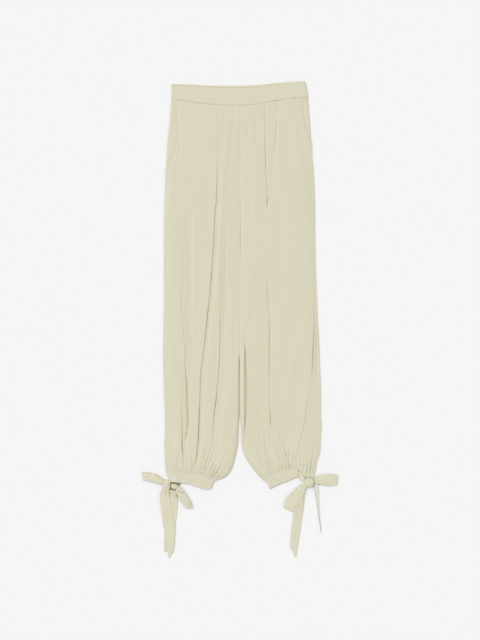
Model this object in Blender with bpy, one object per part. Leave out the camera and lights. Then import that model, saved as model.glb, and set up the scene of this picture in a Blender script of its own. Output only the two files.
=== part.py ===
"""Satin trousers laid flat with their front up.

A shaped waistband, two straight legs that are gathered into narrow cuffs, a slanted pocket at each
side, and a tie that closes each cuff in a bow. Sizes below are in millimetres: +X is the wearer's
left, +Y points to the waist, +Z is up, and the underside lies at height 0. In every table the
columns are named in the comment above it.
"""

from math import cos, pi, radians, sin

import bpy
import numpy as np

MM = 0.001

# Walls and the clearances between them
CLOTH = 1.5
BAND_WALL = 1.8
CUFF_WALL = 1.6
POCKET_WALL = 1.2
RIBBON = 1.2
GAP = 0.3
CENTRE_GAP = 0.42

# Heights of the front's outer face above the floor
EDGE_TOP = 2 * CLOTH + 1.5 * GAP
MOUTH_TOP = 5.0
SEAM_TOP = 5.0
PLATEAU = 5.7
HIGHEST = 7.0
SIDE_ROLL = 14.0
INNER_ROLL = 10.0
MOUTH_FADE = 30.0
CENTRE_DIP = 0.7
CENTRE_DIP_HALF = 4.0
# How far from the waist seam and the cuff seam the cloth settles to their height
WAIST_SETTLE = 14.0
CUFF_SETTLE = 12.0

# The crotch: above it the two fronts share a flat seam, below it each leg has its own rolled edge
CROTCH = 272.0
CROTCH_FADE = 70.0

# Waist seam: x, height
WAIST_SEAM = [
    (-178, 563.5), (-149, 558), (-98, 551), (-68, 547.5), (-11, 546), (4, 546),
    (40, 549), (70, 554), (106, 560), (131, 563), (175, 567),
]
# Upper edge of the band's front half, and of its back half, which stands a little higher: x, height
FRONT_TOP_EDGE = [
    (-176, 595), (-103, 592), (-47, 589), (11, 589), (55, 592), (88, 597), (121, 603), (166, 606),
]
BACK_TOP_EDGE = [
    (-176, 600), (-129, 599.5), (-73, 596.5), (-14, 596), (24, 597), (55, 599), (88, 602.5), (119, 605),
    (166, 608),
]
# x of the band's two ends, at its upper edge and at the waist seam
BAND_ENDS_TOP = (-175.5, 165.5)
BAND_ENDS_SEAM = (-176.0, 173.5)
BAND_SHARES = (0, 0.35, 0.7, 1)
BAND_CELLS = 34

# Five lines run down each leg: its side, three main creases, and its inner edge.
# Sections: height, then the x of side, outer crease, middle crease, inner crease, inner edge
RIGHT_SECTIONS = [
    (567, -176, -149, -61, -29, 0),
    (521, -179, -152, -61, -28, 0),
    (483, -184, -154, -60, -28, 0),
    (445, -189, -156, -58, -29, 0),
    (368, -193, -158, -59, -35, 0),
    (292, -197, -159, -62, -42, 0),
    (177, -199, -161, -70, -48, 0),
    (50, -199.3, -152, -80, -50, -1),
    (-78, -199, -142, -94, -54, -2),
    (-180, -198, -136, -103, -60, -2),
    (-244, -195, -133, -105, -68, -2),
    (-282, -193, -135, -107, -70, -3),
    (-320, -194, -140, -109, -73, -5),
    (-348, -193, -143, -112, -80, -9),
    (-368, -192, -144, -117, -86, -16),
    (-384, -190, -145, -119, -90, -22),
    (-394, -187, -145, -120, -91, -28),
    (-402, -184, -145, -120, -92, -41),
    (-410, -182, -145, -121, -93, -67),
]
LEFT_SECTIONS = [
    (570, 173, 143, 62, 29, 0),
    (521, 177, 144, 62, 28, 0),
    (483, 180, 147, 62, 26, 0),
    (445, 183, 150, 61, 24, 0),
    (368, 189, 158, 65, 22, 0),
    (292, 193, 167, 68, 19, 0),
    (177, 195, 180, 68, 16, 0),
    (50, 198, 190, 71, 11, -0.5),
    (-78, 203, 185, 74, 10, -1),
    (-180, 206, 173, 74, 12, -1),
    (-244, 207, 164, 76, 11, 0),
    (-269, 210, 161, 79, 11, 0),
    (-307, 207, 152, 79, 14, 1),
    (-338, 204, 146, 85, 24, 7),
    (-363, 197, 144, 93, 38, 19),
    (-384, 193, 142, 98, 52, 34),
    (-397, 187, 142, 101, 68, 45),
    (-404, 186, 143, 102, 75, 54),
    (-413, 185, 143, 102, 78, 64),
]
# Cuff seams: x, height
RIGHT_CUFF_SEAM = [
    (-186, -402), (-177, -395), (-158, -389), (-145, -391), (-105, -395), (-80, -407), (-66, -410),
]
LEFT_CUFF_SEAM = [
    (63, -413.5), (70, -404), (77, -396), (95, -389), (117, -384), (143, -381),
    (148, -383), (155, -392), (162, -399), (175, -401), (188, -398),
]
# Pocket mouths, from the waist seam to the side edge: height, x
RIGHT_MOUTH = [(567, -165), (519, -163), (476, -161), (432, -168), (399, -185), (381, -193)]
LEFT_MOUTH = [(570, 154), (529, 158), (499, 163), (476, 169), (460, 178), (450, 183)]
MOUTH_UNDERLAP = 8.0

# Creases along the lines: line, its top and bottom heights, depth, half width
RIGHT_CREASES = [
    (2, 505, -385, 2.4, 6.5),
    (3, 500, -375, 1.7, 6.0),
    (1, 235, -390, 1.4, 6.0),
]
LEFT_CREASES = [
    (3, 25, -300, 1.8, 5.0),
    (2, 545, 280, 1.7, 6.0),
    (2, 120, -310, 1.7, 6.0),
    (1, 90, -335, 1.8, 6.0),
]
# Soft folds: x and height at the top, x and height at the bottom, depth (below 0 for a ridge), half width
RIGHT_FOLDS = [
    (-138, 240, -136, -60, 0.8, 8),
    (-92, 545, -90, 420, 0.6, 7),
    (-151, -95, -147, -375, 1.1, 5),
    (-12, 330, -9, 90, -0.5, 8),
]
LEFT_FOLDS = [
    (92, 545, 84, 350, 0.7, 7),
    (139, 560, 134, 460, -0.6, 7),
    (115, 475, 115, 360, -0.5, 7),
    (40, -190, 50, -260, 0.8, 6),
    (128, 150, 122, -240, -0.5, 12),
]
CREASE_FADE = 60.0
SHOULDER = 0.35

# Gathers: how many across a front panel, depth at the seam, and how far they reach
WAIST_GATHERS = 11
WAIST_GATHER_DEPTH = 0.8
WAIST_GATHER_REACH = 70.0
CUFF_GATHERS = 15
CUFF_GATHER_DEPTH = 1.9
CUFF_GATHER_REACH = 65.0
GATHER_WANDER = 0.22
GATHER_WIDTH = 0.33
GATHER_FREE_SIDE = 24.0
# The cloth's fullness above the cuff: its height, how far above the seam it is highest, and its spread
CUFF_PUFF = 1.3
CUFF_PUFF_AT = 38.0
CUFF_PUFF_SPREAD = 30.0
# Faint waves: height, how many across a panel, and the length over which they wander
RIPPLE = 0.3
RIPPLES = 5.5
RIPPLE_WANDER = 170.0

# Columns between the five lines, doubled near both seams, and the rows at set distances
RIGHT_CELLS = (5, 8, 4, 5)
LEFT_CELLS = (5, 10, 7, 2)
WAIST_ROWS = (0, 7, 18, 36, 62)
CUFF_ROWS = (96, 80, 66, 52, 39, 28, 18, 10, 4, 0)
MIDDLE_ROWS = 15
BACK_ROWS = (30, 110, 14)

# Lower edges of the cuffs: x, height
RIGHT_CUFF_EDGE = [
    (-181, -414), (-168, -414.5), (-154, -418), (-134, -422), (-116, -428), (-95, -435), (-83, -437),
    (-72, -430),
]
LEFT_CUFF_EDGE = [(73, -433), (80, -430), (96, -423), (120, -414), (145, -405), (149, -405)]
# x of each cuff's outer and inner end, at its seam and at its lower edge
RIGHT_CUFF_ENDS = (-183.5, -67.5, -180.5, -73.0)
LEFT_CUFF_ENDS = (147.0, 64.5, 148.0, 74.0)
CUFF_HEIGHT = 2 * CUFF_WALL + 0.8
CUFF_CELLS = 24
CUFF_CLEARANCE = 0.45

# Ribbons: the two edges at each station from the knot outwards, and the height of each edge's upper face
# a_x, a_y, b_x, b_y, a_z, b_z
FLAT = RIBBON
UPPER = 2 * RIBBON + GAP
OVER_LOOP = 5.2
RIGHT_TAIL_UPPER = [
    (-198, -433, -189, -434.6, UPPER, UPPER),
    (-205, -447, -181, -443, UPPER, UPPER),
    (-206, -463, -178, -463, UPPER, UPPER),
    (-203, -483, -175, -483, UPPER + 1, UPPER),
    (-199, -506, -171, -506, UPPER, UPPER),
    (-196, -532, -165, -532, UPPER, UPPER + 0.8),
    (-190, -562, -165, -562, UPPER, UPPER),
    (-186, -586, -166, -584, UPPER, UPPER),
    (-182, -609, -179, -606, UPPER, UPPER),
]
RIGHT_TAIL_LOWER = [
    (-177, -438, -163, -438, FLAT, FLAT),
    (-184, -455, -161, -455, FLAT, FLAT),
    (-187, -473, -160, -473, FLAT, FLAT),
    (-190, -493, -162, -493, FLAT, FLAT),
    (-193, -516, -164, -516, FLAT, FLAT),
    (-195, -539, -165, -539, FLAT, FLAT),
    (-195, -565, -170, -565, FLAT, FLAT),
    (-195, -591, -181, -591, FLAT, FLAT),
]
LEFT_TAIL_LONG = [
    (153, -430.2, 168.5, -427.6, OVER_LOOP + 0.6, OVER_LOOP),
    (149, -450, 163, -450, OVER_LOOP + 0.6, OVER_LOOP),
    (143, -468, 162, -468, OVER_LOOP + 0.6, OVER_LOOP),
    (137, -488, 160, -488, OVER_LOOP + 0.6, OVER_LOOP),
    (133, -514, 157, -514, 2.4, 2.0),
    (127.5, -544, 154, -544, FLAT, FLAT),
    (125, -578, 149, -575, FLAT, FLAT),
    (132, -592, 146, -592, FLAT, FLAT),
    (138, -607, 142, -606, FLAT, FLAT),
]
LEFT_TAIL_TURNED = [
    (185.6, -426.6, 196.6, -424.6, FLAT, 7.0),
    (189.5, -442, 200.5, -441, FLAT, 9.0),
    (191.5, -460, 202.5, -460, FLAT, 10.0),
    (194.5, -481, 203, -481, FLAT, 12.0),
    (198.5, -504, 205, -504, FLAT, 12.5),
    (202, -527, 207, -527, FLAT, 12.5),
    (204.5, -542, 208, -542, FLAT, 11.0),
]
# Bow loops: the two edges at each station from the knot to the far fold, a_x, a_y, b_x, b_y
RIGHT_LOOP_SIDE = [
    (-196.2, -404, -196.8, -425),
    (-213, -395.5, -211, -419.5),
    (-231, -389.5, -230, -415),
    (-251, -388, -248, -415.5),
]
RIGHT_LOOP_FRONT = [
    (-160.4, -423.5, -160.6, -437.5),
    (-144, -437, -156, -454),
    (-131, -455, -149, -467),
    (-121.5, -480, -143, -481),
]
LEFT_LOOP_SIDE = [
    (189.4, -403.5, 189.4, -416.5),
    (198, -397, 199, -420.5),
    (213, -393.5, 213, -423),
    (228, -392.5, 228, -424),
    (246.5, -395.5, 245.5, -423.5),
]
LEFT_LOOP_FRONT = [
    (160.9, -417.5, 163.8, -430.5),
    (139, -432, 159, -448),
    (125, -447, 154, -463),
    (114.5, -462, 147, -478),
    (111, -481, 137.5, -490.5),
]
# Heights of the upper layer's outer face at the root and at the far fold, and how far it arches between
LOOP_ROOT = 3.6
LOOP_END = 3.4
SIDE_LOOP_ARCH = 2.2
FRONT_LOOP_ARCH = 2.0

# Stations along a ribbon are about this far apart, and a loop's far fold turns in this many steps
RIBBON_STEP = 12.0
LOOP_TURN_STEPS = 5
RIBBON_SHARES = (0, 1 / 3, 2 / 3, 1)

# Knots and the turned stretch of tie beside each: centre x, centre y, half length, half width, height, turn
RIGHT_KNOT = (-171.6, -430.0, 10.6, 7.6, 8.5, 0)
RIGHT_WRAP = (-188.7, -420.5, 7.4, 13.2, 7.0, -6)
LEFT_KNOT = (175.5, -415.6, 13.4, 13.6, 9.0, -10)
LEFT_WRAP = [
    (148.4, -385, 148.5, -405.5, 2.7, 2.7),
    (155, -393.5, 155, -409.5, 2.6, 2.6),
    (162.6, -404, 161.6, -413.5, 2.9, 2.9),
]

# A knot's profile: share of its height, share of its width. Its outline is an oval squared off by a power.
KNOT_PROFILE = [(0.0, 0.86), (0.22, 1.0), (0.55, 0.96), (0.82, 0.78), (0.97, 0.42)]
KNOT_TOP = 0.86
KNOT_SIDES = 20
KNOT_POWER = 0.75
KNOT_GROOVE = 0.18
KNOT_GROOVE_HALF = 3.0

SATIN = (0.70, 0.66, 0.50)
SATIN_LIGHT = (0.72, 0.69, 0.54)


def flow(at, places, values):
    """Reads a smooth curve through the points (places, values) that never swings past them.

    Between two points it is a cubic. Its slope at a point is the harmonic mean of the slopes on
    both sides, and 0 where they point opposite ways."""
    order = np.argsort(places)
    places = np.asarray(places, float)[order]
    values = np.asarray(values, float)[order]
    step = np.diff(places)
    slope = np.diff(values) / step
    product = slope[:-1] * slope[1:]
    total = np.where(product > 0, slope[:-1] + slope[1:], 1.0)
    mean = np.where(product > 0, 2 * product / total, 0.0)
    tangent = np.concatenate([slope[:1], mean, slope[-1:]])
    at = np.clip(np.asarray(at, float), places[0], places[-1])
    k = np.clip(np.searchsorted(places, at) - 1, 0, len(step) - 1)
    t = (at - places[k]) / step[k]
    start = values[k] * (1 + 2 * t) * (1 - t) ** 2 + tangent[k] * step[k] * t * (1 - t) ** 2
    end = values[k + 1] * t * t * (3 - 2 * t) + tangent[k + 1] * step[k] * t * t * (t - 1)
    return start + end


def read(table, at):
    """The second column of a two-column table, read smoothly at these values of its first."""
    rows = np.array(table, float)
    return flow(at, rows[:, 0], rows[:, 1])


def ease(t):
    """0 below 0, 1 above 1, and a soft step between."""
    t = np.clip(t, 0, 1)
    return t * t * (3 - 2 * t)


def make_material(name, colour):
    material = bpy.data.materials.new(name)
    material.use_nodes = True
    shader = material.node_tree.nodes["Principled BSDF"]
    shader.inputs["Base Color"].default_value = (*colour, 1)
    shader.inputs["Roughness"].default_value = 0.5
    shader.inputs["Metallic"].default_value = 0.0
    shader.inputs["Sheen Weight"].default_value = 0.2
    return material


def add_object(name, points, faces, garment, origin=(0, 0, 0), colour=SATIN):
    """A mesh object from points in millimetres, with its own material, placed at origin."""
    mesh = bpy.data.meshes.new(name)
    local = (np.asarray(points, float) - np.array(origin)) * MM
    mesh.from_pydata(local.tolist(), [], faces)
    mesh.shade_smooth()
    mesh.set_sharp_from_angle(angle=radians(50))
    made = bpy.data.objects.new(name, mesh)
    made.location = np.array(origin) * MM
    made.data.materials.append(make_material(name, colour))
    made.parent = garment
    bpy.context.scene.collection.objects.link(made)
    return made


def thicken(made, wall):
    """Gives a sheet its wall on the inner side, so that the sheet stays the outer face."""
    solidify = made.modifiers.new("wall", "SOLIDIFY")
    solidify.thickness = wall * MM
    solidify.offset = -1
    solidify.use_even_offset = True
    solidify.use_quality_normals = True


def weave(rows, outward=1, around=False):
    """Joins rows of points with faces, and returns (points, faces).

    Neighbouring rows have the same number of points, or one has twice the cells of the other and
    each of the wide cells meets two narrow ones in three triangles. outward is the sign of the
    height of the first face's normal. around closes each row into a ring."""
    starts = np.cumsum([0] + [len(row) for row in rows])
    faces = []
    for a, b, first, second in zip(rows[:-1], rows[1:], starts[:-1], starts[1:]):
        if len(a) == len(b):
            cells = len(a) if around else len(a) - 1
            for j in range(cells):
                k = (j + 1) % len(a)
                faces.append((first + j, first + k, second + k, second + j))
            continue
        wide, narrow = (first, second) if len(a) < len(b) else (second, first)
        flip = len(a) > len(b)
        for j in range(min(len(a), len(b)) - 1):
            fan = [
                (wide + j, wide + j + 1, narrow + 2 * j + 1),
                (wide + j, narrow + 2 * j + 1, narrow + 2 * j),
                (wide + j + 1, narrow + 2 * j + 2, narrow + 2 * j + 1),
            ]
            faces += [face[::-1] if flip else face for face in fan]
    points = np.concatenate(rows)
    a, b, c = (points[i] for i in faces[0][:3])
    if np.cross(b - a, c - b)[2] * outward < 0:
        faces = [face[::-1] for face in faces]
    return points, [tuple(int(i) for i in face) for face in faces]


class Leg:
    """One leg's lines, seams, creases and folds."""

    def __init__(self, side, sections, cuff_seam, mouth, creases, folds, cells):
        self.name = side
        self.sign = -1 if side == "right" else 1
        self.sections = np.array(sections, float)
        self.cuff_seam = cuff_seam
        self.mouth = np.array(mouth, float)
        self.creases = creases
        self.folds = folds
        middle = self.sections[len(sections) // 2, 1:]
        self.shares = (middle - middle[0]) / (middle[-1] - middle[0])
        spans = zip(self.shares[:-1], self.shares[1:], cells)
        fine = [np.linspace(a, b, 2 * n, endpoint=False) for a, b, n in spans]
        self.fine = np.append(np.concatenate(fine), 1.0)
        self.coarse = self.fine[::2]
        self.length = self.sections[0, 0] - self.sections[-1, 0]

    def line(self, column, height):
        """x of one of the five lines, from 0 for the side to 4 for the inner edge."""
        return flow(height, self.sections[:, 0], self.sections[:, 1 + column])

    def front_edge(self, height):
        """x of the front's outer edge: the pocket mouth above the pocket's end, and the side below."""
        at_mouth = flow(height, self.mouth[:, 0], self.mouth[:, 1])
        return np.where(height > self.mouth[-1, 0], at_mouth, self.line(0, height))

    def row(self, down, across, front):
        """Points x, y of one row. down runs from 0 at the waist seam to 1 at the cuff seam."""
        ends = []
        for height, seam in ((self.sections[0, 0], WAIST_SEAM), (self.sections[-1, 0], self.cuff_seam)):
            ends.append([read(seam, self.line(column, height)) for column in range(5)])
        heights = np.array(ends[0]) * (1 - down) + np.array(ends[1]) * down
        tops = np.array([self.line(column, ends[0][column]) for column in range(5)])
        bottoms = np.array([self.line(column, ends[1][column]) for column in range(5)])
        lines = np.array([self.line(column, heights[column]) for column in range(5)])
        if front:
            tops[0] = self.front_edge(ends[0][0])
            lines[0] = self.front_edge(heights[0])
        x = flow(across, self.shares, lines)
        top = read(WAIST_SEAM, flow(across, self.shares, tops)) - GAP / 2
        bottom = read(self.cuff_seam, flow(across, self.shares, bottoms)) + GAP / 2
        x = x + self.sign * CENTRE_GAP / 2 * (across == 1)
        return x, top * (1 - down) + bottom * down

    def height(self, x, y, across, down):
        """Height of the front's outer face.

        It starts as a plateau that rolls down to the back panel at the side and, below the crotch,
        at the inner edge. Creases and folds are bell-shaped troughs about their lines, with a low
        shoulder on each side. Gathers are narrow troughs that fade away from the seams."""
        from_side = np.abs(x - self.front_edge(y))
        from_inner = np.abs(self.line(4, y) - x)
        pocket = ease((y - self.mouth[-1, 0]) / MOUTH_FADE + 1)
        edge = EDGE_TOP + (MOUTH_TOP - EDGE_TOP) * pocket
        roll = np.sqrt(1 - (1 - np.clip(from_side / SIDE_ROLL, 0, 1)) ** 2)
        z = edge + (PLATEAU - edge) * roll
        parted = ease((CROTCH - y) / CROTCH_FADE)
        inner = np.sqrt(1 - (1 - np.clip(from_inner / INNER_ROLL, 0, 1)) ** 2)
        z = z - parted * (1 - inner) * (PLATEAU - EDGE_TOP)
        z = z - (1 - parted) * CENTRE_DIP * np.exp(-((from_inner / CENTRE_DIP_HALF) ** 2))
        z = z + RIPPLE * np.sin(2 * pi * (RIPPLES * across + 0.5 * np.sin(y / RIPPLE_WANDER)))
        for line, top, bottom, depth, half in self.creases:
            window = ease((top - y) / CREASE_FADE) * ease((y - bottom) / CREASE_FADE)
            t = (x - self.line(line, y)) / half
            z = z - depth * window * (np.exp(-(t**2)) - SHOULDER * np.exp(-((np.abs(t) - 2) ** 2)))
        for x_top, top, x_bottom, bottom, depth, half in self.folds:
            window = ease((top - y) / CREASE_FADE) * ease((y - bottom) / CREASE_FADE)
            middle = x_bottom + (x_top - x_bottom) * (y - bottom) / (top - bottom)
            z = z - depth * window * np.exp(-(((x - middle) / half) ** 2))
        from_waist = down * self.length
        from_cuff = (1 - down) * self.length
        z = z + CUFF_PUFF * np.exp(-(((from_cuff - CUFF_PUFF_AT) / CUFF_PUFF_SPREAD) ** 2))
        settled = np.exp(-((from_waist / WAIST_SETTLE) ** 2)) + np.exp(-((from_cuff / CUFF_SETTLE) ** 2))
        z = z + (np.minimum(z, SEAM_TOP) - z) * np.clip(settled, 0, 1)
        at_waist = gathers(across, from_waist, WAIST_GATHERS, WAIST_GATHER_DEPTH, WAIST_GATHER_REACH)
        at_cuff = gathers(across, from_cuff, CUFF_GATHERS, CUFF_GATHER_DEPTH, CUFF_GATHER_REACH)
        z = z - ease(from_side / GATHER_FREE_SIDE) * (at_waist + at_cuff)
        return np.clip(z, EDGE_TOP, HIGHEST)


def gathers(across, distance, count, depth, reach):
    """Depth of a row of gathers at this distance from their seam.

    Each is a bell-shaped trough. Its place, depth and reach wander with sines of its number."""
    total = np.zeros_like(across)
    for i in range(count):
        middle = (i + 0.5 + GATHER_WANDER * sin(2.1 * i)) / count
        strength = depth * (0.7 + 0.3 * sin(3.7 * i + 1))
        length = reach * (0.7 + 0.4 * sin(1.3 * i + 2))
        trough = np.exp(-(((across - middle) * count / GATHER_WIDTH) ** 2))
        total += strength * trough * np.exp(-distance / length)
    return total


def make_front(leg, garment):
    """The front leg panel: a sheet through its lines, twice as fine near both seams."""
    steps = np.linspace(WAIST_ROWS[-1], leg.length - CUFF_ROWS[0], MIDDLE_ROWS + 1)[1:-1]
    rows = []
    for distance in WAIST_ROWS:
        rows.append((distance / leg.length, leg.fine))
    for distance in steps:
        rows.append((distance / leg.length, leg.coarse))
    for distance in CUFF_ROWS:
        rows.append((1 - distance / leg.length, leg.fine))
    sheet = []
    for down, across in rows:
        x, y = leg.row(down, across, front=True)
        sheet.append(np.stack([x, y, leg.height(x, y, across, down)], axis=1))
    points, faces = weave(sheet)
    thicken(add_object("leg_front_" + leg.name, points, faces, garment), CLOTH)


def make_back(leg, garment):
    """The back leg panel lies flat on the floor, under the front."""
    first, last, count = BACK_ROWS
    middle = np.linspace(first, leg.length - last, count)
    near_cuff = leg.length - np.array(CUFF_ROWS[::2])
    distances = np.concatenate([[0], middle, near_cuff, [leg.length]])
    sheet = []
    for down in distances / leg.length:
        x, y = leg.row(down, leg.fine, front=False)
        sheet.append(np.stack([x, y, np.full_like(x, CLOTH)], axis=1))
    points, faces = weave(sheet)
    thicken(add_object("leg_back_" + leg.name, points, faces, garment), CLOTH)


def make_pocket(leg, garment):
    """The side piece that shows between the slanted pocket mouth and the side seam."""
    end = leg.mouth[-1, 0] + 2
    start = read(WAIST_SEAM, leg.line(0, leg.sections[0, 0])) - GAP / 2
    sheet = []
    for share in np.linspace(0, 1, 9):
        y = np.full(4, start + (end - start) * share)
        outer = leg.line(0, y[0])
        inner = leg.front_edge(y[0]) - leg.sign * MOUTH_UNDERLAP * (1 - share**4)
        x = outer + (inner - outer) * np.linspace(0, 1, 4)
        if share == 0:
            y = read(WAIST_SEAM, x) - GAP / 2
        sheet.append(np.stack([x, y, np.full(4, CLOTH + GAP + POCKET_WALL)], axis=1))
    points, faces = weave(sheet)
    thicken(add_object("pocket_side_" + leg.name, points, faces, garment), POCKET_WALL)


def make_band(name, edge, plateau, low, garment):
    """Half of the waistband: a sheet from its upper edge to the waist seam, rolled down at its ends."""
    share = np.linspace(0, 1, BAND_CELLS + 1)
    sheet = []
    for down in BAND_SHARES:
        ends = np.array(BAND_ENDS_TOP) * (1 - down) + np.array(BAND_ENDS_SEAM) * down
        x = ends[0] + (ends[1] - ends[0]) * share
        y = read(edge, x) * (1 - down) + (read(WAIST_SEAM, x) + GAP / 2) * down
        from_end = np.minimum(x - ends[0], ends[1] - x)
        roll = np.sqrt(1 - (1 - np.clip(from_end / SIDE_ROLL, 0, 1)) ** 2)
        sheet.append(np.stack([x, y, low + (plateau - low) * roll], axis=1))
    points, faces = weave(sheet)
    made = add_object(name, points, faces, garment, colour=SATIN_LIGHT)
    thicken(made, BAND_WALL)


def make_cuff(leg, edge, ends, garment):
    """A flattened tube: one ring of points at the seam, two between and one at the lower edge.

    Round the ring, the front and back walls are straight and the two ends are half circles."""
    radius = CUFF_HEIGHT / 2
    turn = np.linspace(pi / 2, -pi / 2, 5)
    shares = np.linspace(0, 1, CUFF_CELLS + 1)
    seam_from, seam_to, edge_from, edge_to = ends
    rings = []
    for down in np.linspace(0, 1, 4):
        front = []
        for share in shares:
            x_seam = seam_from + (seam_to - seam_from) * share
            x_edge = edge_from + (edge_to - edge_from) * share
            y_seam = read(leg.cuff_seam, x_seam) - CUFF_CLEARANCE + GAP / 2
            y_edge = read(edge, x_edge)
            front.append((x_seam * (1 - down) + x_edge * down, y_seam * (1 - down) + y_edge * down))
        front = np.array(front)
        along = np.sign(front[-1, 0] - front[0, 0])
        back = radius * (1 - np.cos(turn))
        height = radius * (1 + np.sin(turn))
        inner = [(front[-1, 0] - along * b, front[-1, 1], z) for b, z in zip(back, height)]
        outer = [(front[0, 0] + along * b, front[0, 1], z) for b, z in zip(back, height)]
        top = [(x, y, CUFF_HEIGHT) for x, y in front[1:-1]]
        bottom = [(x, y, 0.0) for x, y in front[-2:0:-1]]
        rings.append(np.array(top + inner + bottom + outer[::-1]))
    points, faces = weave(rings, outward=1, around=True)
    made = add_object("cuff_" + leg.name, points, faces, garment, colour=SATIN_LIGHT)
    thicken(made, CUFF_WALL)


def stations(rows):
    """Reads a ribbon's table at evenly spaced stations along its middle."""
    table = np.array(rows, float)
    middle = (table[:, 0:2] + table[:, 2:4]) / 2
    run = np.concatenate([[0], np.cumsum(np.linalg.norm(np.diff(middle, axis=0), axis=1))])
    at = np.linspace(0, run[-1], max(4, round(run[-1] / RIBBON_STEP) + 1))
    return np.stack([flow(at, run, column) for column in table.T], axis=1)


def make_ribbon(name, rows, garment, origin):
    """A strip of ribbon between its two edges."""
    sheet = []
    for a_x, a_y, b_x, b_y, a_z, b_z in stations(rows):
        share = np.array(RIBBON_SHARES)[:, None]
        sheet.append(np.array([[a_x, a_y, a_z]]) * (1 - share) + np.array([[b_x, b_y, b_z]]) * share)
    points, faces = weave(sheet)
    thicken(add_object(name, points, faces, garment, origin), RIBBON)


def make_loop(name, rows, rise, garment, origin):
    """A bow's loop: a strip out along the floor, round a half circle at the far end, and back above.

    The upper layer arches by rise between its root and its end."""
    table = stations(rows)
    radius = LOOP_END / 2
    a_end, b_end = table[-1, 0:2], table[-1, 2:4]
    a_run = (a_end - table[-2, 0:2]) / np.linalg.norm(a_end - table[-2, 0:2])
    b_run = (b_end - table[-2, 2:4]) / np.linalg.norm(b_end - table[-2, 2:4])
    edges = [(row[0:2], row[2:4]) for row in table[:-1]]
    path = [(a, b, 0.0) for a, b in edges]
    for angle in np.linspace(0, pi, LOOP_TURN_STEPS + 1):
        back = radius * (1 - sin(angle))
        path.append((a_end - a_run * back, b_end - b_run * back, radius * (1 - cos(angle))))
    for k in range(len(edges) - 1, -1, -1):
        share = k / len(edges)
        arch = LOOP_ROOT + (LOOP_END - LOOP_ROOT) * share + rise * sin(pi * share)
        path.append((edges[k][0], edges[k][1], arch))
    sheet = []
    for a, b, z in path:
        share = np.array(RIBBON_SHARES)[:, None]
        flat = a[None, :] * (1 - share) + b[None, :] * share
        sheet.append(np.concatenate([flat, np.full((len(share), 1), z)], axis=1))
    points, faces = weave(sheet, outward=-1)
    thicken(add_object(name, points, faces, garment, origin), RIBBON)


def make_knot(name, x, y, length, width, height, turn, garment):
    """A rounded lump with a flat underside and a groove where the ribbon crosses itself.

    Rings of a squared-off ellipse shrink towards the top."""
    angle = np.linspace(0, 2 * pi, KNOT_SIDES, endpoint=False)
    oval_x = length * np.sign(np.cos(angle)) * np.abs(np.cos(angle)) ** KNOT_POWER
    oval_y = width * np.sign(np.sin(angle)) * np.abs(np.sin(angle)) ** KNOT_POWER
    rings = []
    for lift, size in KNOT_PROFILE:
        across = (oval_x + oval_y / 2) * size
        groove = 1 - KNOT_GROOVE * lift * np.exp(-((across / KNOT_GROOVE_HALF) ** 2))
        rings.append(np.stack([oval_x * size, oval_y * size, height * lift * groove], axis=1))
    points, faces = weave(rings, outward=-1, around=True)
    first_top = len(points) - KNOT_SIDES
    top = len(points)
    points = np.concatenate([points, [[0, 0, KNOT_TOP * height]]])
    for j in range(KNOT_SIDES):
        faces.append((top, first_top + j, first_top + (j + 1) % KNOT_SIDES))
    faces.append(tuple(range(KNOT_SIDES))[::-1])
    made = add_object(name, points, faces, garment)
    made.location = (x * MM, y * MM, 0)
    made.rotation_euler.z = radians(turn)


def main():
    for old in list(bpy.data.objects):
        bpy.data.objects.remove(old)
    garment = bpy.data.objects.new("trousers", None)
    bpy.context.scene.collection.objects.link(garment)
    right = Leg(
        "right", RIGHT_SECTIONS, RIGHT_CUFF_SEAM, RIGHT_MOUTH, RIGHT_CREASES, RIGHT_FOLDS, RIGHT_CELLS
    )
    left = Leg("left", LEFT_SECTIONS, LEFT_CUFF_SEAM, LEFT_MOUTH, LEFT_CREASES, LEFT_FOLDS, LEFT_CELLS)
    for leg in (right, left):
        make_front(leg, garment)
        make_back(leg, garment)
        make_pocket(leg, garment)
    make_band("waistband_front", FRONT_TOP_EDGE, SEAM_TOP, 2 * BAND_WALL + GAP, garment)
    make_band("waistband_back", BACK_TOP_EDGE, BAND_WALL, BAND_WALL, garment)
    make_cuff(right, RIGHT_CUFF_EDGE, RIGHT_CUFF_ENDS, garment)
    make_cuff(left, LEFT_CUFF_EDGE, LEFT_CUFF_ENDS, garment)
    make_knot("tie_knot_right", *RIGHT_KNOT, garment)
    make_knot("tie_wrap_right", *RIGHT_WRAP, garment)
    make_knot("tie_knot_left", *LEFT_KNOT, garment)
    right_origin = (RIGHT_KNOT[0], RIGHT_KNOT[1], 0)
    left_origin = (LEFT_KNOT[0], LEFT_KNOT[1], 0)
    make_ribbon("tie_wrap_left", LEFT_WRAP, garment, left_origin)
    make_loop("bow_loop_side_right", RIGHT_LOOP_SIDE, SIDE_LOOP_ARCH, garment, right_origin)
    make_loop("bow_loop_front_right", RIGHT_LOOP_FRONT, FRONT_LOOP_ARCH, garment, right_origin)
    make_loop("bow_loop_side_left", LEFT_LOOP_SIDE, SIDE_LOOP_ARCH, garment, left_origin)
    make_loop("bow_loop_front_left", LEFT_LOOP_FRONT, 0.0, garment, left_origin)
    make_ribbon("bow_tail_upper_right", RIGHT_TAIL_UPPER, garment, right_origin)
    make_ribbon("bow_tail_lower_right", RIGHT_TAIL_LOWER, garment, right_origin)
    make_ribbon("bow_tail_long_left", LEFT_TAIL_LONG, garment, left_origin)
    make_ribbon("bow_tail_turned_left", LEFT_TAIL_TURNED, garment, left_origin)


main()
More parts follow.
